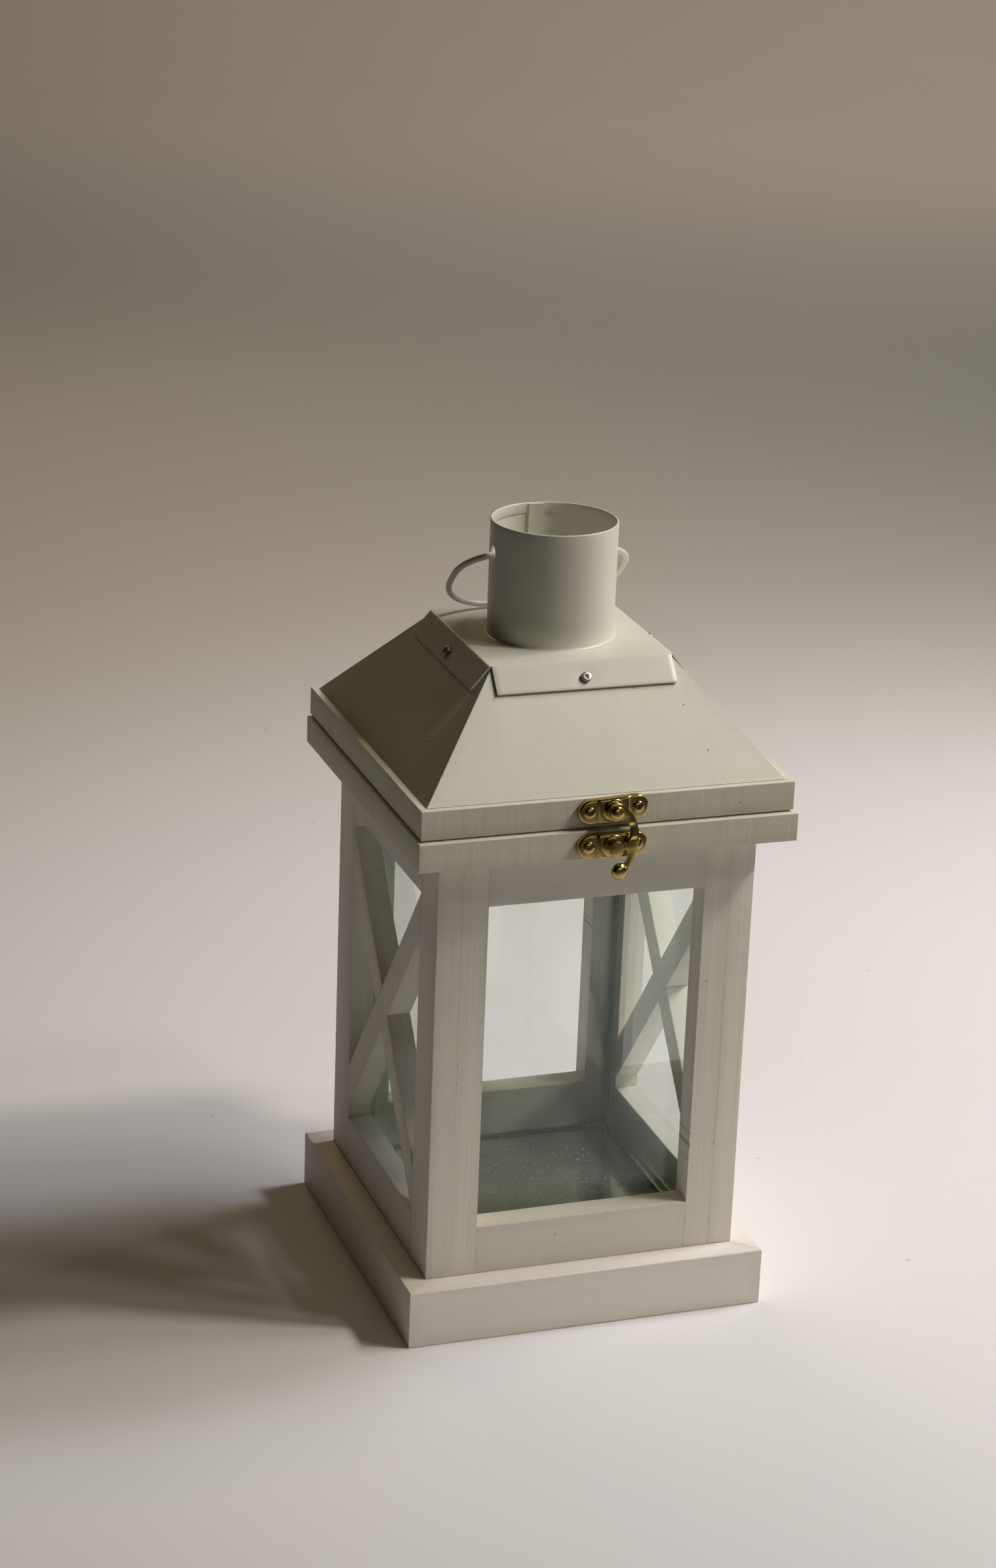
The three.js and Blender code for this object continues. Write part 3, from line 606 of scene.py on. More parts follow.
wall = metres({
    "half": 65.5, "opening": 44.8, "low": 24.3, "high": 202.3,
    "sill": 44.5, "head": 181.5, "gap": 0.3, "side": 10, "front": 11.2,
})


def boxPlanes(x0, x1, y0, y1, z0, z1):
    return [
        ((x0, 0, 0), (-1, 0, 0)), ((x1, 0, 0), (1, 0, 0)), ((0, 0, z0), (0, 0, -1)), ((0, 0, z1), (0, 0, 1)),
        ((0, y0, 0), (0, -1, 0)), ((0, y1, 0), (0, 1, 0)),
    ]


def makeWall(side, quarter, halfWidth, thick, stiles):
    # drawn as the front wall: x along the wall, its face at y = -half
    y0, y1 = -wall["half"], thick - wall["half"]
    turn = quarterTurn(quarter).to_3x3()
    along, out = turn @ Vector((1, 0, 0)), turn @ Vector((0, -1, 0))
    glued, look = ([0, 1, 2, 3], "seamed") if thick == wall["front"] else ([0, 1, 5], "posts")
    for name, x0, x1 in ((stiles[0], -halfWidth, -wall["opening"]), (stiles[1], wall["opening"], halfWidth)):
        planes = boxPlanes(x0, x1, y0, y1, wall["low"], wall["high"])
        planes = planes[2:4] + planes[0:2] + planes[4:6]
        hewn(side + "_" + name, inQuarter(quarter, planes), (0, 0, 1), out, glued, look)
    rail = wall["opening"] - wall["gap"]
    for name, z0, z1, outside in (
        ("rail_bottom", wall["low"], wall["sill"], 2), ("rail_top", wall["head"], wall["high"], 3),
    ):
        planes = inQuarter(quarter, boxPlanes(-rail, rail, y0, y1, z0, z1))
        hewn(side + "_" + name, planes, along, out, [0, 1, outside], "rails")


insideSides = wall["half"] - wall["side"] - wall["gap"]
makeWall("front", 0, insideSides, wall["front"], ["stile_left", "stile_right"])
makeWall("back", 2, insideSides, wall["front"], ["stile_right", "stile_left"])
makeWall("right", 1, wall["half"], wall["side"], ["stile_front", "stile_back"])
makeWall("left", 3, wall["half"], wall["side"], ["stile_back", "stile_front"])

# a brace's line is given by its heights at the front and the back stile
brace = metres({"end": 44.5, "edge": 9.65, "throughLift": 5.2, "halfDrop": 5.9})
braceHigh = wall["head"] - wall["gap"] - brace["edge"]
braceLow = wall["sill"] + wall["gap"] + brace["edge"]
throughLine = (braceHigh, braceLow + brace["throughLift"])
halfLine = (braceLow, braceHigh - brace["halfDrop"])


def makeBraces(side, sign):
    x0, x1 = sorted((sign * (wall["half"] - wall["side"]), sign * wall["half"]))

    def along(line):
        return Vector((0, 2 * brace["end"], line[1] - line[0])).normalized()

    def beside(line, offset, up):
        # a plane along a line, offset upwards from it, that faces up (1) or down (-1)
        direction = along(line)
        return (0, -brace["end"], line[0] + offset), Vector((0, -direction.z, direction.y)) * up

    seam = brace["edge"] + wall["gap"] / along(throughLine).y
    front, back = ((0, -brace["end"], 0), (0, -1, 0)), ((0, brace["end"], 0), (0, 1, 0))
    faces = [((x0, 0, 0), (-1, 0, 0)), ((x1, 0, 0), (1, 0, 0))]
    for name, line, ends in (
        ("brace_through", throughLine, [front, back]),
        ("brace_lower", halfLine, [front, beside(throughLine, -seam, 1)]),
        ("brace_upper", halfLine, [beside(throughLine, seam, -1), back]),
    ):
        edges = [beside(line, brace["edge"], 1), beside(line, -brace["edge"], -1)]
        hewn(side + "_" + name, ends + edges + faces, along(line), (sign, 0, 0), [0, 1], "posts")


makeBraces("right", 1)
makeBraces("left", -1)
print("walls and braces")

roof = metres({
    "foot": 73, "footZ": 226.7, "thick": 7, "top": 268,
    "capHalf": 37.8, "capTop": 269.1, "standOff": 1.3,   # standOff: from the panels to the top of the cap
})
rise, reach = roof["capTop"] - roof["footZ"], roof["foot"] - roof["capHalf"]
pitch = math.acos(roof["standOff"] / math.hypot(rise, reach)) - math.atan2(reach, rise)
for quarter, side in enumerate(sides):
    slope = Vector((0, -math.sin(pitch), math.cos(pitch)))
    foot = Vector((0, -roof["foot"], roof["footZ"]))
    planes = [
        ((board["mitre"] - roof["foot"], -roof["foot"], 0), (-1, 1, 0)),
        ((roof["foot"] - board["mitre"], -roof["foot"], 0), (1, 1, 0)),
        (foot, (0, 0, -1)),
        ((0, 0, roof["top"]), (0, 0, 1)),
        (foot, slope),
        (foot - slope * roof["thick"], -slope),
    ]
    planes = inQuarter(quarter, planes, (0, lidShift, 0))
    turn = quarterTurn(quarter).to_3x3()
    hewn("roof_panel_" + side, planes, turn @ Vector((1, 0, 0)), turn @ slope, [0, 1, 2], "roof", body="lid",
         ease=0.3 * mm)
print("roof")

floor = metres({
    "top": 22, "thick": 9, "x": 55.7, "y": 56.7,
    "plateX": 52.3, "plateY": 51.1, "plateTop": 23.3, "sheet": 1, "plateEdge": 0.15, "soiled": 2.5,
    "dish": 0.05, "sunk": 0.06,
})
boardPlanes = boxPlanes(-floor["x"], floor["x"], -floor["y"], floor["y"], floor["top"] - floor["thick"],
                        floor["top"])
hewn("bottom_board", boardPlanes, (1, 0, 0), (0, 0, 1), [0, 1], "board", slot="bare_board")


def makeFloorPlate():
    bm = bmesh.new()
    bmesh.ops.create_grid(bm, x_segments=34, y_segments=34, size=0.5)
    bmesh.ops.scale(bm, verts=bm.verts, vec=(2 * floor["plateX"], 2 * floor["plateY"], 1))
    bmesh.ops.solidify(bm, geom=bm.faces[:], thickness=floor["sheet"])
    outward(bm)
    top = max(vert.co.z for vert in bm.verts)
    moved(bm, 0, 0, floor["plateTop"] - top)
    rim = [edge for edge in bm.edges if edge.is_manifold and edge.calc_face_angle() > 1]
    rounded(bm, rim, floor["plateEdge"], 2)
    wear = bm.verts.layers.float.new("wear")
    for vert in bm.verts:
        inset = min(floor["plateX"] - abs(vert.co.x), floor["plateY"] - abs(vert.co.y))
        vert[wear] = max(0.0, 1 - inset / floor["soiled"])
        vert.co.z += noise.noise(vert.co * 22) * floor["dish"] - floor["sunk"]
    settled(bm, "floor_plate", "body", "reflector", "reflector")


makeFloorPlate()

glass = metres({"thick": 2, "low": 22.3, "high": 200.5, "edge": 0.25})


def makePanes():
    frontOut = wall["half"] - wall["front"] - wall["gap"]
    sideOut = wall["half"] - wall["side"] - wall["gap"]
    for quarter, side in enumerate(sides):
        half, out = (frontOut - glass["thick"] - wall["gap"], sideOut) if quarter % 2 else (sideOut, frontOut)
        bm = block(2 * half, glass["thick"], glass["high"] - glass["low"])
        moved(bm, 0, glass["thick"] / 2 - out, (glass["high"] + glass["low"]) / 2)
        rounded(bm, bm.edges[:], glass["edge"], 2)
        for face in bm.faces:
            face.material_index = 0 if abs(face.normal.y) > 0.99 else 1
        placed(bm, quarterTurn(quarter))
        settled(bm, "glass_" + side, "body", "pane_glass", "glass", "cutGlass", angle=20)


makePanes()
print("floor and glass")


def screwMesh(shape, twist):
    # a turned head with a cross cut into it by two tapered blades
    head = meshOf(turned(shape["profile"], 40))
    for turn in (0, math.pi / 2):
        blade = block(shape["cross"], shape["slot"], shape["deep"] * 2)
        for vert in blade.verts:
            if vert.co.z < 0:
                vert.co.x *= 0.5
                vert.co.y *= 0.65
        swung(blade, turn + twist, "Z")
        moved(blade, 0, 0, shape["top"])
        # the cross's cut faces get full painted shade, so they come out near black
        head = carve(head, meshOf(blade, 1.0))
    return head


panScrew = metres({
    "profile": [(0, -5.2), (0.35, -4.9), (1.0, -3.9), (1.0, -0.25), (1.9, -0.25), (2.05, -0.1), (2.05, 0.75),
                (1.96, 0.98), (1.75, 1.1), (1.4, 1.12), (0, 1.14)],
    "cross": 2.9, "slot": 0.85, "deep": 0.9, "top": 1.2,
})
brassScrew = metres({
    "profile": [(0, -0.4), (1.3, -0.4), (2.3, 0.02), (2.4, 0.15), (2.34, 0.42), (2.1, 0.62), (1.7, 0.74),
                (1.0, 0.82), (0, 0.86)],
    "cross": 2.6, "slot": 0.72, "deep": 0.85, "top": 0.9,
})
hingeScrew = metres({
    "profile": [(0, -0.3), (1.0, -0.3), (1.6, 0.02), (1.62, 0.12), (1.3, 0.36), (0.7, 0.5), (0, 0.54)],
    "cross": 1.7, "slot": 0.4, "deep": 0.45, "top": 0.6,
})


def driven(name, shape, place, twist, body, slot="polished_brass", look="screwBrass", stands=False):
    bm = started(screwMesh(shape, twist))
    placed(bm, place)
    settled(bm, name, body, slot, look, angle=40, stands=stands)


def onFlap(quarter, drop, out):
    # a place on a roof side: down its slope from the cap's edge, and out along its normal
    along = Vector((0, -math.cos(pitch), -math.sin(pitch)))
    normal = Vector((0, -math.sin(pitch), math.cos(pitch)))
    spot = Vector((0, -roof["capHalf"], roof["capTop"])) + along * drop + normal * out
    shift = Matrix.Translation((0, lidShift, 0))
    return shift @ quarterTurn(quarter) @ Matrix.Translation(spot) @ Matrix.Rotation(pitch, 4, "X")


# the cap: one sheet with a hole, bent down on four sides, pressed in at its screws and waved as thin sheet is
cap = metres({
    "sheet": 0.8, "bend": 1.2, "flap": 12, "flapHalf": 37, "throat": 25.35, "clear": 3, "eased": 9,
    "screwDrop": 7.4, "screwOut": 0.1, "press": 0.28, "pressReach": 3.2, "wave": 0.16, "sunk": 0.1,
    "edge": 0.16,
})
capColumns, flapRows = 32, 9   # squares across the sheet and down a flap

for quarter, side in enumerate(sides):
    place = onFlap(quarter, cap["screwDrop"], cap["screwOut"])
    driven("cap_screw_" + side, panScrew, place, 0.5 + quarter * 0.9, "lid", "zinc_screw", "zinc", stands=True)


def makeCap():
    bm = bmesh.new()
    square, throat = cap["flapHalf"], cap["throat"]
    setback = cap["bend"] * math.tan(pitch / 2)
    bmesh.ops.create_grid(bm, x_segments=capColumns, y_segments=capColumns, size=square)
    inner = [face for face in bm.faces if face.calc_center_median().length < throat + cap["clear"]]
    bmesh.ops.delete(bm, geom=inner, context="FACES")
    # the rim of the hole is drawn in to a circle
    for vert in bm.verts:
        if vert.is_boundary and max(abs(vert.co.x), abs(vert.co.y)) < square - 1 * mm:
            vert.co = vert.co.normalized() * throat
    ring = [vert for vert in bm.verts if not vert.is_boundary and vert.co.length < throat + cap["eased"]]
    bmesh.ops.smooth_vert(bm, verts=ring, factor=0.5, use_axis_x=True, use_axis_y=True)
    down = Vector((0, -math.cos(pitch), -math.sin(pitch)))
    for quarter in range(4):
        turn = quarterTurn(quarter)
        inside = turn.inverted()
        lip = [edge for edge in bm.edges if edge.is_boundary
               and all((inside @ vert.co).y < 0.1 * mm - square and vert.co.z > -1e-6 for vert in edge.verts)]
        strip = list(set(vert for edge in lip for vert in edge.verts))
        for vert in strip:
            vert.co = turn @ Vector(((inside @ vert.co).x, setback - roof["capHalf"], 0))
        axis = turn @ Vector((1, 0, 0))
        centre = turn @ Vector((0, setback - roof["capHalf"], -cap["bend"]))
        step = turn @ down * (cap["flap"] - setback)
        bent(bm, strip + lip, [("bend", centre, axis, math.degrees(pitch), 5), ("run", step, flapRows)])
    tidied(bm, 0.01 * mm)
    if sum(face.normal.z for face in bm.faces) < 0:
        bmesh.ops.reverse_faces(bm, faces=bm.faces)
    moved(bm, 0, 0, roof["capTop"])
    screwed = Vector((0, -roof["capHalf"] - cap["screwDrop"] * math.cos(pitch),
                      roof["capTop"] - cap["screwDrop"] * math.sin(pitch)))
    for vert in bm.verts:
        for quarter in range(4):
            away = (vert.co - quarterTurn(quarter) @ screwed).length
            vert.co -= vert.normal * cap["press"] * math.exp(-(away / cap["pressReach"]) ** 2)
        vert.co += vert.normal * (noise.noise(vert.co * 45) * cap["wave"] - cap["sunk"])
    bmesh.ops.solidify(bm, geom=bm.faces[:], thickness=cap["sheet"])
    outward(bm)
    rim = [edge for edge in bm.edges if edge.is_manifold and edge.calc_face_angle() > 1.2]
    rounded(bm, rim, cap["edge"], 2)
    wear = bm.verts.layers.float.new("wear")
    for vert in bm.verts:
        vert[wear] = min(1.0, max((edge.calc_face_angle(0) for edge in vert.link_edges), default=0) * 1.3)
    moved(bm, 0, lidShift, 0)
    settled(bm, "cap_plate", "lid", "white_sheet_metal", "cap", angle=40)


makeCap()
print("cap and its screws")

# the chimney: hemmed at the rim, lapped at the back; fillet is (out, up) in millimetres at its foot
chimney = {"radius": 25.2 * mm, "sheet": 0.8 * mm, "top": 315.3 * mm, "foot": 267.2 * mm, "flange": 2.2 * mm,
           "hem": 4 * mm, "lapMiddle": 88.5, "lap": 15, "holeZ": 303 * mm, "hole": 2.75 * mm, "steps": 144,
           "oval": 0.004, "dents": 0.0015, "rubbedRim": 0.7 * mm,
           "fillet": [(0.9, -0.08), (0.6, 0.06), (0.34, 0.25), (0.16, 0.55), (0.06, 1.0), (0.02, 1.6)]}


def makeChimney():
    r, s, top, foot = chimney["radius"], chimney["sheet"], chimney["top"], chimney["foot"]
    fold, seat, hemEdge = s * 0.62, roof["capTop"], top - chimney["hem"]
    profile = [(r - s, foot), (r + chimney["flange"], foot), (r + chimney["flange"], foot + s), (r, foot + s),
               (r, seat - 0.15 * mm)]
    profile += [(r + out * mm, seat + up * mm) for out, up in chimney["fillet"]]
    profile += [(r, seat + 3 * mm + (top - fold - seat - 3 * mm) * k / 8) for k in range(9)]
    profile += [(r - fold + fold * math.cos(a), top - fold + fold * math.sin(a)) for a in
                (math.pi * k / 8 for k in range(1, 8))]
    inside = r - 2 * fold   # the hem's own inner face, sprung open a little at its edge
    profile += [(inside, top - fold), (inside - 0.22 * mm, hemEdge), (inside - 0.15 * mm, hemEdge - 0.14 * mm),
                (inside + 0.1 * mm, hemEdge - 0.1 * mm), (r - s, hemEdge + 0.1 * mm)]
    profile += [(r - s, hemEdge - (hemEdge - foot) * k / 6) for k in range(1, 7)]
    tube = meshOf(turned(profile, chimney["steps"]))

    lap = bmesh.new()
    inner, outer = r - 2 * s - 0.1 * mm, r - s * 0.6
    strip = [(inner, foot + 0.1 * mm), (outer, foot + 0.1 * mm), (outer, top - 0.25 * mm),
             (inner, top - 0.5 * mm)]
    section = lap.faces.new([lap.verts.new((radius, 0, height)) for radius, height in strip])
    half = math.radians(chimney["lap"]) / 2
    swung(lap, math.radians(chimney["lapMiddle"]) - half, "Z")
    bmesh.ops.spin(lap, geom=[section, *section.edges, *section.verts], cent=(0, 0, 0), axis=(0, 0, 1),
                   angle=2 * half, steps=8)
    outward(lap)
    tube = carve(tube, meshOf(lap), "UNION")

    drill = rod(chimney["hole"], 80 * mm, 36)
    swung(drill, math.pi / 2, "Y")
    moved(drill, 0, 0, chimney["holeZ"])
    bm = started(carve(tube, meshOf(drill, 0.8)))
    wear = bm.verts.layers.float["wear"]
    for vert in bm.verts:
        if vert.co.z > top - chimney["rubbedRim"]:
            vert[wear] = 0.75
        turn = math.atan2(vert.co.y, vert.co.x)
        free = (vert.co.z - foot) / (top - foot)
        vert.co.xy *= (1 + chimney["oval"] * free * math.cos(2 * turn + 0.6)
                       + chimney["dents"] * noise.noise(vert.co * 60))
    moved(bm, 0, lidShift, 0)
    settled(bm, "chimney_tube", "lid", "white_sheet_metal", "tube", angle=38)


makeChimney()

# the bail: one bent wire, drawn flat with x across and y from the pivots to the crown
bail = metres({"wire": 1.25, "axisZ": 302.1, "half": 35.6, "reach": 47, "shift": -1.1, "shoulder": 15.5,
               "crown": 25, "leg": 4.5, "legBend": 2.5, "waver": 0.12, "eye": 25, "eyeWear": 2, "above": 5})


def makeBail():
    b = bail
    bm = bmesh.new()
    bmesh.ops.create_circle(bm, cap_ends=True, segments=16, radius=b["wire"])
    swung(bm, -math.pi / 2, "X")
    shoulder, crown = b["half"] - b["shoulder"], b["half"] - b["crown"]
    moved(bm, -shoulder + b["legBend"], -b["leg"], 0)
    up = (0, 0, 1)
    side = b["reach"] - b["crown"] - b["shoulder"]
    bent(bm, bm.verts[:] + bm.edges[:] + bm.faces[:], [
        ("run", (0, b["leg"] - b["legBend"], 0), 2),
        ("bend", (-shoulder, -b["legBend"], 0), up, 90, 6),
        ("bend", (-shoulder, b["shoulder"], 0), up, -90, 16),
        ("run", (0, side, 0), 5),
        ("bend", (-crown, b["reach"] - b["crown"], 0), up, -90, 20),
        ("run", (2 * crown, 0, 0), 10),
        ("bend", (crown, b["reach"] - b["crown"], 0), up, -90, 20),
        ("run", (0, -side, 0), 5),
        ("bend", (shoulder, b["shoulder"], 0), up, -90, 16),
        ("bend", (shoulder, -b["legBend"], 0), up, 90, 6),
        ("run", (0, b["legBend"] - b["leg"], 0), 2),
    ])
    tidied(bm)
    wear = bm.verts.layers.float.new("wear")
    for vert in bm.verts:
        fromEye = (abs(vert.co.x) - b["eye"]) / b["eyeWear"]
        vert[wear] = 0.3 + 0.5 * math.exp(-fromEye ** 2) * (vert.co.y < b["above"])
        vert.co.z += noise.noise(vert.co * 30) * b["waver"]
    drop = math.asin((b["axisZ"] - (roof["capTop"] + 0.3 * mm + b["wire"])) / b["reach"])
    placed(bm, Matrix.Translation((b["shift"], lidShift, b["axisZ"])) @ Matrix.Rotation(-drop, 4, "X"))
    settled(bm, "bail_handle", "bail", "white_sheet_metal", "wire", angle=60)


makeBail()
print("chimney and bail")

# the latch, drawn with x to the right, y up and z out of the wood
latch = metres({
    "pivot": (0.3, -75.05, 221.9), "keeper": (-0.5, -77.55, 208.3),
    "half": 14.2, "round": 4.95, "deep": 2.4, "edge": 0.8,
    "saddle": 5.6, "saddleFoot": 6.9, "rise": 0.6, "creaseReach": 0.8, "screws": 9.8,
})
pivotTilt = math.radians(3)   # the upper plate sits a little askew


def uprightAt(place):
    return Matrix.Translation(place) @ Matrix.Rotation(math.pi / 2, 4, "X")


def obround(bm, half, radius):
    # a flat outline with round ends, drawn by one travelling point
    straight, up = half - radius, (0, 0, 1)
    bent(bm, [bm.verts.new((straight, -radius, 0))], [
        ("bend", (straight, 0, 0), up, 180, 20), ("run", (-2 * straight, 0, 0), 6),
        ("bend", (-straight, 0, 0), up, 180, 20), ("run", (2 * straight, 0, 0), 6),
    ])
    bmesh.ops.remove_doubles(bm, verts=bm.verts, dist=0.02 * mm)
    return bmesh.ops.contextual_create(bm, geom=bm.edges[:])["faces"][0]


def pressedPlate():
    # a deep tray with a saddle pressed up across its middle
    k = latch
    bm = bmesh.new()
    thickened(bm, obround(bm, k["half"], k["round"]), (0, 0, k["deep"]))
    rim = [edge for edge in bm.edges
           if edge.calc_face_angle() > 1 and min(vert.co.z for vert in edge.verts) > k["deep"] / 2]
    rounded(bm, rim, k["edge"], 5)
    for step in range(9):
        crease = k["saddle"] + (k["saddleFoot"] - k["saddle"]) * step / 8
        for side in (-1, 1):
            sliced(bm, (side * crease, 0, 0), (1, 0, 0))
    wear = bm.verts.layers.float.new("wear")
    for vert in bm.verts:
        reach = abs(vert.co.x)
        if vert.co.z > 0.1 * mm:
            vert.co.z += k["rise"] * smooth(reach, k["saddleFoot"], k["saddle"]) * vert.co.z / k["deep"]
        crease = smooth(abs(reach - k["saddleFoot"]), k["creaseReach"], 0)
        # painted shade along the plate's foot on the wood and in the creases at the saddle
        vert[wear] = 0.55 * (vert.co.z < 0.3 * mm) + 0.25 * crease
    return meshOf(bm)


def post(profile, wear=0.0):
    return meshOf(turned(profile, 56), wear)


def makePlate(name, posts, place, body, twist):
    plate = pressedPlate()
    for standing in posts:
        plate = carve(plate, standing, "UNION")
    bm = started(plate)
    turn = place @ Matrix.Rotation(twist, 4, "Z")
    placed(bm, turn)
    settled(bm, name, body, "polished_brass", "brass", angle=32)
    for end, side, angle in (("left", -1, 0.35), ("right", 1, 0.95)):
        seat = turn @ Matrix.Translation((side * latch["screws"], 0, latch["deep"]))
        driven(name + "_screw_" + end, brassScrew, seat, angle + place.translation.z, body)


# profiles of (radius, height) over the wood
boss = metres([(0, 1), (4.6, 1), (4.6, 2.95), (4.5, 3.08), (4.1, 3.3), (3.8, 3.38), (0, 3.38)])
rivet = metres([(0, 3), (1.2, 3), (1.2, 5.8), (2.5, 5.8), (2.75, 5.95), (2.8, 6.2), (2.68, 6.55), (2.35, 6.9),
                (1.8, 7.15), (1.1, 7.27), (0, 7.3)])
neck = metres([(0, 3), (1.2, 3), (1.2, 6.2), (0, 6.2)])
stud = metres({"radius": 3.1, "half": 2.45, "near": 5.8, "thick": 1, "edge": 0.34})


def studHead():
    # a disc with both sides cut flat
    bm = rod(stud["radius"], stud["thick"], 64)
    for side in (-1, 1):
        sliced(bm, (side * stud["half"], 0, 0), (side, 0, 0), 1e-7, clear=True)
    rounded(bm, [edge for edge in bm.edges if edge.calc_face_angle() > 0.6], stud["edge"], 4)
    moved(bm, 0, 0, stud["near"] + stud["thick"] / 2)
    return meshOf(bm)


# the bosses come out a little darker; the neck under the stud head is painted in shade
makePlate("latch_pivot_plate", [post(boss, 0.2), post(rivet)], uprightAt(latch["pivot"]), "lid", pivotTilt)
makePlate("latch_keeper_plate", [post(boss, 0.2), post(neck, 0.5), studHead()], uprightAt(latch["keeper"]),
          "body", 0)

# the hook's outline and pad are in millimetres from the middle of its eye
hook = {
    "near": 3.7 * mm, "thick": 1.8 * mm, "edge": 0.5 * mm, "hole": 1.5 * mm,
    "lean": 2.5 * mm, "leanStart": 3.8 * mm, "leanEnd": 11 * mm, "padX": 1.5 * mm, "padDrop": 23.4 * mm,
    "outer": [(0.8, 3.5), (2.6, 2.8), (4.8, 0.8), (6.8, -1.5), (8.3, -4.7), (8.9, -8.1), (8.7, -10.8),
              (8.3, -13.2), (7.6, -16.2), (6.8, -18.8), (5.7, -20.9), (4.5, -22.8)],
    "padNeck": [(1.2, -21.4), (2.8, -20.8), (3.9, -19.8), (4.45, -18.4), (4.55, -17), (4.2, -15.2),
                (3.4, -14.3)],
    "catch": [(1.9, -14.4), (1.9, -15.9), (1.3, -16.4), (-1.1, -16.3), (-1.3, -15.2), (0.7, -15.2)],
    "bow": [(0.8, -13.1), (2.6, -12.55), (4.0, -11.4), (5.25, -9.75), (5.8, -7.8), (5.5, -5.8), (4.6, -4.0)],
    "throat": [(3.9, -2.5), (2.8, -2.3)],
    "pad": [(0, 0), (2.9, 0), (3.25, 0.3), (3.4, 0.7), (3.38, 1.35), (3.2, 1.75), (2.85, 2.1), (2.5, 2.38),
            (2.3, 2.62), (2.1, 2.7), (0, 2.7)],
}


def flowing(points, steps):
    # a smooth run through the points, with steps in each span
    ends = [points[0], *points, points[-1]]
    run = []
    for a, b, c, d in zip(ends, ends[1:], ends[2:], ends[3:]):
        a, b, c, d = (Vector((*point, 0)) for point in (a, b, c, d))
        for step in range(steps):
            t = step / steps
            run.append(b + (c - a) * t / 2 + (a - b * 2.5 + c * 2 - d / 2) * t * t
                       + ((b - c) * 1.5 + (d - a) / 2) * t * t * t)
    return run + [Vector((*points[-1], 0))]


def makeHook():
    h = hook
    bm = bmesh.new()
    run = flowing(h["outer"], 4) + flowing(h["padNeck"], 3) + [Vector((*point, 0)) for point in h["catch"]]
    run += flowing(h["bow"], 4) + [Vector((*point, 0)) for point in h["throat"]]
    line = [bm.verts.new(point * mm) for point in run]
    throat, top = line[-1].co, line[0].co
    sweep = math.degrees(math.atan2(throat.y, throat.x) - math.atan2(top.y, top.x)) + 360   # round the eye
    for pair in zip(line, line[1:]):
        bm.edges.new(pair)
    bent(bm, [line[-1]], [("bend", (0, 0, 0), (0, 0, 1), -sweep, 34)])
    bmesh.ops.remove_doubles(bm, verts=bm.verts, dist=0.05 * mm)
    ring = bmesh.ops.contextual_create(bm, geom=bm.edges[:])["faces"][0]
    thickened(bm, ring, (0, 0, h["thick"]))
    rims = [edge for edge in bm.edges if abs(edge.verts[0].co.z - edge.verts[1].co.z) < 1e-6]
    rounded(bm, rims, h["edge"])
    bmesh.ops.triangulate(bm, faces=[face for face in bm.faces if len(face.verts) > 4])
    for step in range(13):
        drop = h["leanStart"] + (h["leanEnd"] - h["leanStart"]) * step / 12
        sliced(bm, (0, -drop, 0), (0, 1, 0))
    for vert in bm.verts:
        vert.co.z += h["lean"] * smooth(-vert.co.y, h["leanStart"], h["leanEnd"])
    arm = meshOf(bm)
    bm = turned([(radius * mm, height * mm) for radius, height in h["pad"]], 56)
    moved(bm, h["padX"], -h["padDrop"], h["lean"])
    arm = carve(arm, meshOf(bm), "UNION")
    # the pivot hole's faces are painted in shade
    bm = started(carve(arm, meshOf(rod(h["hole"], 20 * mm, 40), 0.6)))
    placed(bm, uprightAt(latch["pivot"]) @ Matrix.Translation((0, 0, h["near"])))
    settled(bm, "latch_hook", "hook", "polished_brass", "brass", angle=32)


makeHook()
print("latch")

# hinges: sheet leaves rolled round a pin, drawn below the axis with the wood at y = -radius
hinge = metres({
    "x": 44, "width": 24, "leaf": 9.4, "sheet": 0.8, "radius": 1.67, "axis": (79.25, 214.35), "middle": 8,
    "gap": 0.3, "screws": 7.5, "corner": 1.6, "edge": 0.2, "tuck": 0.6,
    "pinEnd": [(0, 0.68), (0.5, 0.6), (0.9, 0.36), (1.08, 0), (0.65, 0)],   # (radius, height) beyond a leaf
})
knuckleRoll = 292   # degrees


def rolledLeaf(knuckles):
    g = hinge
    low, high = -g["leaf"], -g["radius"] - g["gap"]
    bm = block(g["width"], g["sheet"], high - low)
    corners = [edge for edge in bm.edges if abs(edge.verts[0].co.y - edge.verts[1].co.y) > 0.1 * mm
               and edge.verts[0].co.z < 0]
    rounded(bm, corners, g["corner"], 6)
    moved(bm, 0, g["sheet"] / 2 - g["radius"], (low + high) / 2)
    rim = [edge for edge in bm.edges
           if edge.calc_face_angle() > 1 and min(vert.co.y for vert in edge.verts) > -1 * mm]
    rounded(bm, rim, g["edge"], 2)
    leaf = meshOf(bm)
    inner, outer, root = -g["radius"], g["sheet"] - g["radius"], high - g["tuck"]
    for start, end in knuckles:
        bm = bmesh.new()
        corners = [(start, inner, root), (end, inner, root), (end, outer, root), (start, outer, root)]
        face = bm.faces.new([bm.verts.new(corner) for corner in corners])
        bent(bm, [*face.verts, *face.edges, face], [
            ("run", (0, 0, -root), 2), ("bend", (0, 0, 0), (1, 0, 0), -knuckleRoll, 26),
        ])
        tidied(bm)
        leaf = carve(leaf, meshOf(bm), "UNION")
    return leaf


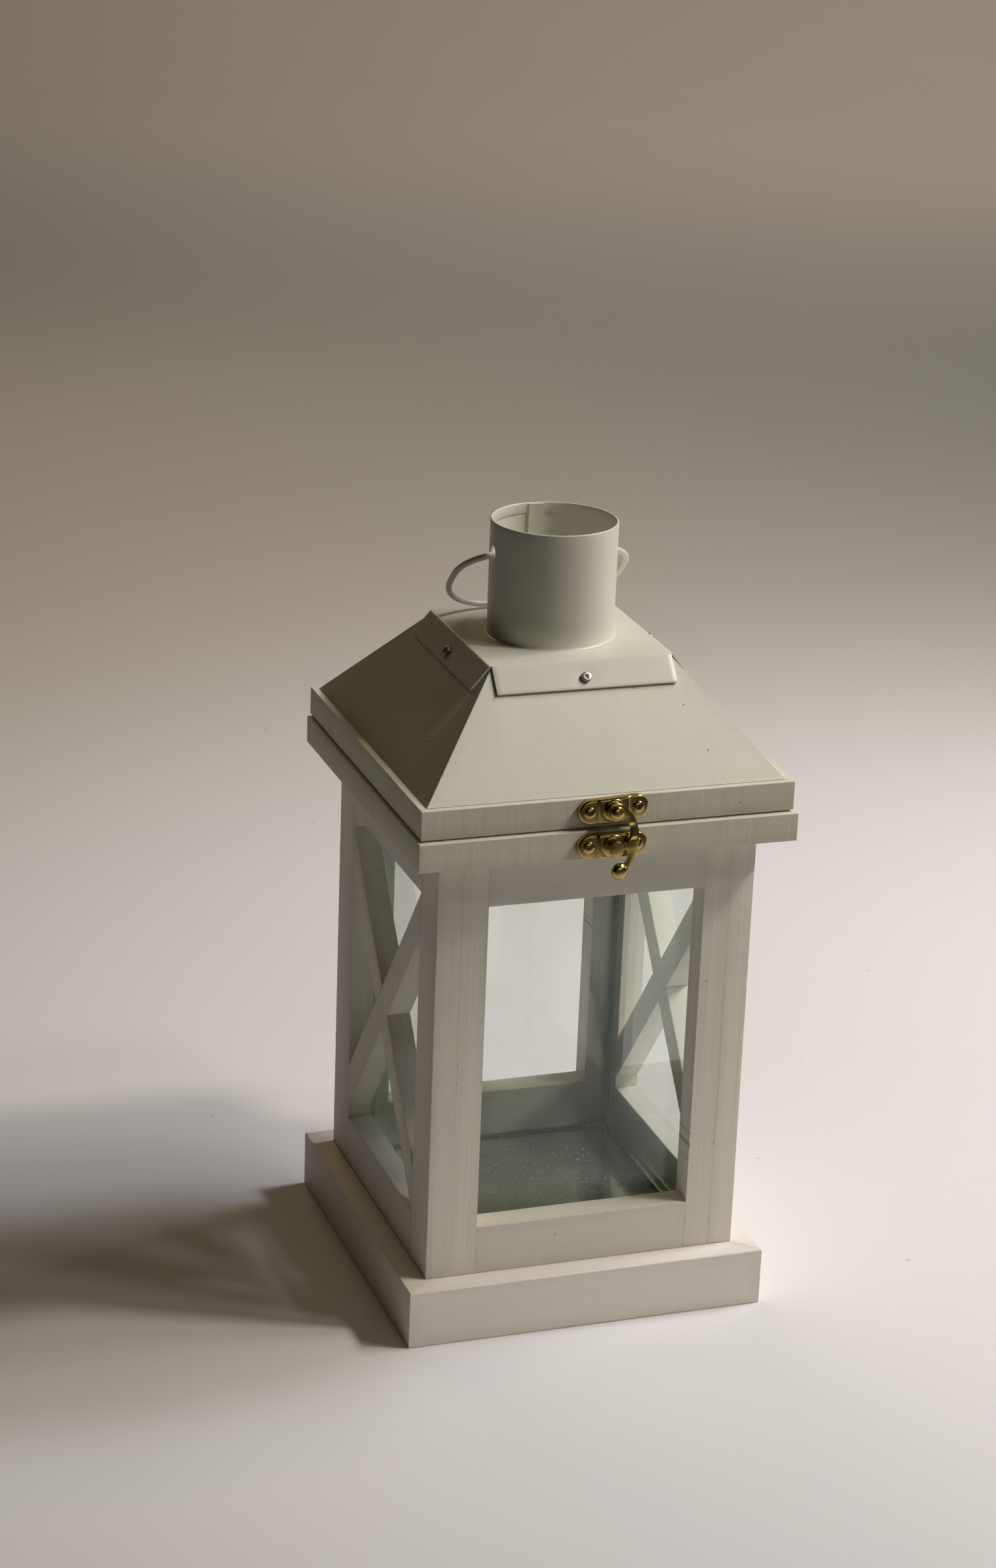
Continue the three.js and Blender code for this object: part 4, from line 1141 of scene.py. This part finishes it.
def makeHinge(side, x):
    g = hinge
    half, middle = g["width"] / 2, g["middle"] / 2
    place = Matrix.Translation((x, *g["axis"]))
    sleeve = middle + g["gap"]
    for part, body, knuckles, up in (
        ("body_leaf", "body", [(-half, -sleeve), (sleeve, half)], 1),
        ("lid_leaf", "lid", [(-middle, middle)], -1),
    ):
        bm = started(rolledLeaf(knuckles))
        placed(bm, place @ Matrix.Diagonal((1, 1, up, 1)))
        outward(bm)
        name = "hinge_" + side + "_" + part
        settled(bm, name, body, "polished_brass", "brass", angle=40)
        level = (-g["leaf"] - g["radius"] - g["gap"]) / 2 * up
        for end, reach in (("left", -g["screws"]), ("right", g["screws"])):
            seat = Matrix.Translation((reach, g["sheet"] - g["radius"], level))
            seat = place @ seat @ Matrix.Rotation(-math.pi / 2, 4, "X")
            driven(name + "_screw_" + end, hingeScrew, seat, dice.uniform(0, 1.5), body)
    reach = half + g["gap"]
    profile = [(radius, -reach - height) for radius, height in g["pinEnd"]]
    profile += [(radius, reach + height) for radius, height in reversed(g["pinEnd"])]
    bm = turned(profile, 28)
    placed(bm, place @ Matrix.Rotation(math.pi / 2, 4, "Y"))
    bm.verts.layers.float.new("wear")
    settled(bm, "hinge_" + side + "_pin", "body", "polished_brass", "brass")


makeHinge("left", -hinge["x"])
makeHinge("right", hinge["x"])
print("hinges")

# floor and light, in metres and degrees
# each light: azimuth, elevation and distance of its stand, the place it is aimed at, its radius, power, cone
# and colour; the first five make one wide soft source
studio = {
    "sweep": 3.0, "curve": 1.4, "wall": 3.6, "under": 0.02 * mm,
    "ambient": (0.0055, 0.005, 0.0033),
    "lights": {
        "edge": ((-38, 46, 2.2), (0.31, 0.05, 0), 0.11, 14.5, 54, (1.0, 0.94, 0.97)),
        "warmEnd": ((-26, 52, 2.2), (0.31, 0.05, 0), 0.11, 59.0, 68, (1.0, 0.91, 0.80)),
        "middleLeft": ((-12, 51, 2.2), (0.31, 0.05, 0), 0.19, 33.0, 54, (1.0, 1.0, 0.85)),
        "middleRight": ((4, 50, 2.2), (0.31, 0.05, 0), 0.19, 78.0, 42, (0.88, 0.89, 1.0)),
        "coolEnd": ((16, 50, 2.2), (0.31, 0.05, 0), 0.13, 15.0, 60, (1.0, 0.89, 0.80)),
        "low": ((-5, 22, 1.8), (0.1, 0.1, 0.1), 0.26, 3.0, 70, (0.93, 0.83, 1.0)),
        "front": ((-75, 12, 2.0), (0, 0, 0.05), 0.4, 6.0, 60, (1.0, 0.99, 0.75)),
        "far": ((45, 44, 3.17), (1.3, 3.4, 0.6), 0.4, 80.0, 110, (1.0, 0.825, 0.61)),
        "between": ((18.4, 57.7, 2.37), (1.0, 1.7, 0), 0.4, 38.0, 80, (0.98, 1.0, 0.94)),
        "room": ((93, 38.3, 2.1), (0.1, 0.2, 0), 0.4, 15.0, 150, (1.0, 0.78, 0.45)),
    },
}


def makeStudio():
    scene = bpy.context.scene
    reach, curve, height = studio["sweep"], studio["curve"], studio["wall"]
    profile = [(0, 0), (0.6, 0), (reach, 0)]
    profile += [(reach + curve * math.sin(a), curve - curve * math.cos(a)) for a in
                (math.pi / 2 * k / 12 for k in range(1, 13))]
    profile += [(reach + curve, height)]
    bm = turned(profile, 96, 0.1 * mm)
    bmesh.ops.reverse_faces(bm, faces=bm.faces)
    moved(bm, 0, 0, -studio["under"])
    mesh = bpy.data.meshes.new("paper_sweep")
    bm.to_mesh(mesh)
    bm.free()
    mesh.materials.append(finishes["paper"])
    mesh.shade_smooth()
    sweep = bpy.data.objects.new("paper_sweep", mesh)
    scene.collection.objects.link(sweep)

    world = bpy.data.worlds.new("dimRoom")
    world.use_nodes = True
    world.node_tree.nodes["Background"].inputs["Color"].default_value = (*studio["ambient"], 1)
    scene.world = world

    for name, (stand, aim, radius, power, cone, colour) in studio["lights"].items():
        light = bpy.data.lights.new(name, "SPOT")
        light.shadow_soft_size = radius
        light.spot_size = math.radians(cone)
        light.spot_blend = 1
        light.energy = power
        light.color = colour
        azimuth, elevation, distance = stand
        swing = Matrix.Rotation(math.radians(azimuth), 3, "Z")
        lift = Matrix.Rotation(-math.radians(elevation), 3, "Y")
        holder = bpy.data.objects.new(name, light)
        holder.location = swing @ lift @ Vector((distance, 0, 0))
        holder.rotation_euler = (Vector(aim) - holder.location).to_track_quat("-Z", "Y").to_euler()
        scene.collection.objects.link(holder)


makeStudio()

# the camera that fits the photo's view; right and up shift it in its own frame
camera = {"azimuth": 19.46, "elevation": 19.93, "roll": 2.22, "distance": 1.44874, "target": (0, 0, 0.150),
          "right": -16.67 * mm, "up": 51.64 * mm, "focalPixels": 5462.5, "framePixels": 2408}


def makeCamera():
    c = camera
    azimuth, elevation, roll = (math.radians(c[key]) for key in ("azimuth", "elevation", "roll"))
    back = Vector((-math.sin(azimuth) * math.cos(elevation), -math.cos(azimuth) * math.cos(elevation),
                   math.sin(elevation)))
    level = Vector((0, 0, 1)).cross(back).normalized()
    tall = back.cross(level)
    right = math.cos(roll) * level + math.sin(roll) * tall
    up = math.cos(roll) * tall - math.sin(roll) * level
    eye = Vector(c["target"]) + back * c["distance"] + right * c["right"] + up * c["up"]
    lens = bpy.data.cameras.new("camera")
    lens.sensor_width = 36
    lens.lens = c["focalPixels"] / c["framePixels"] * lens.sensor_width
    lens.clip_start, lens.clip_end = 0.05, 30
    holder = bpy.data.objects.new("camera", lens)
    holder.matrix_world = Matrix.Translation(eye) @ Matrix((right, up, back)).transposed().to_4x4()
    bpy.context.scene.collection.objects.link(holder)
    bpy.context.scene.camera = holder


makeCamera()
bpy.context.scene.view_settings.view_transform = "Standard"
print("studio and camera")
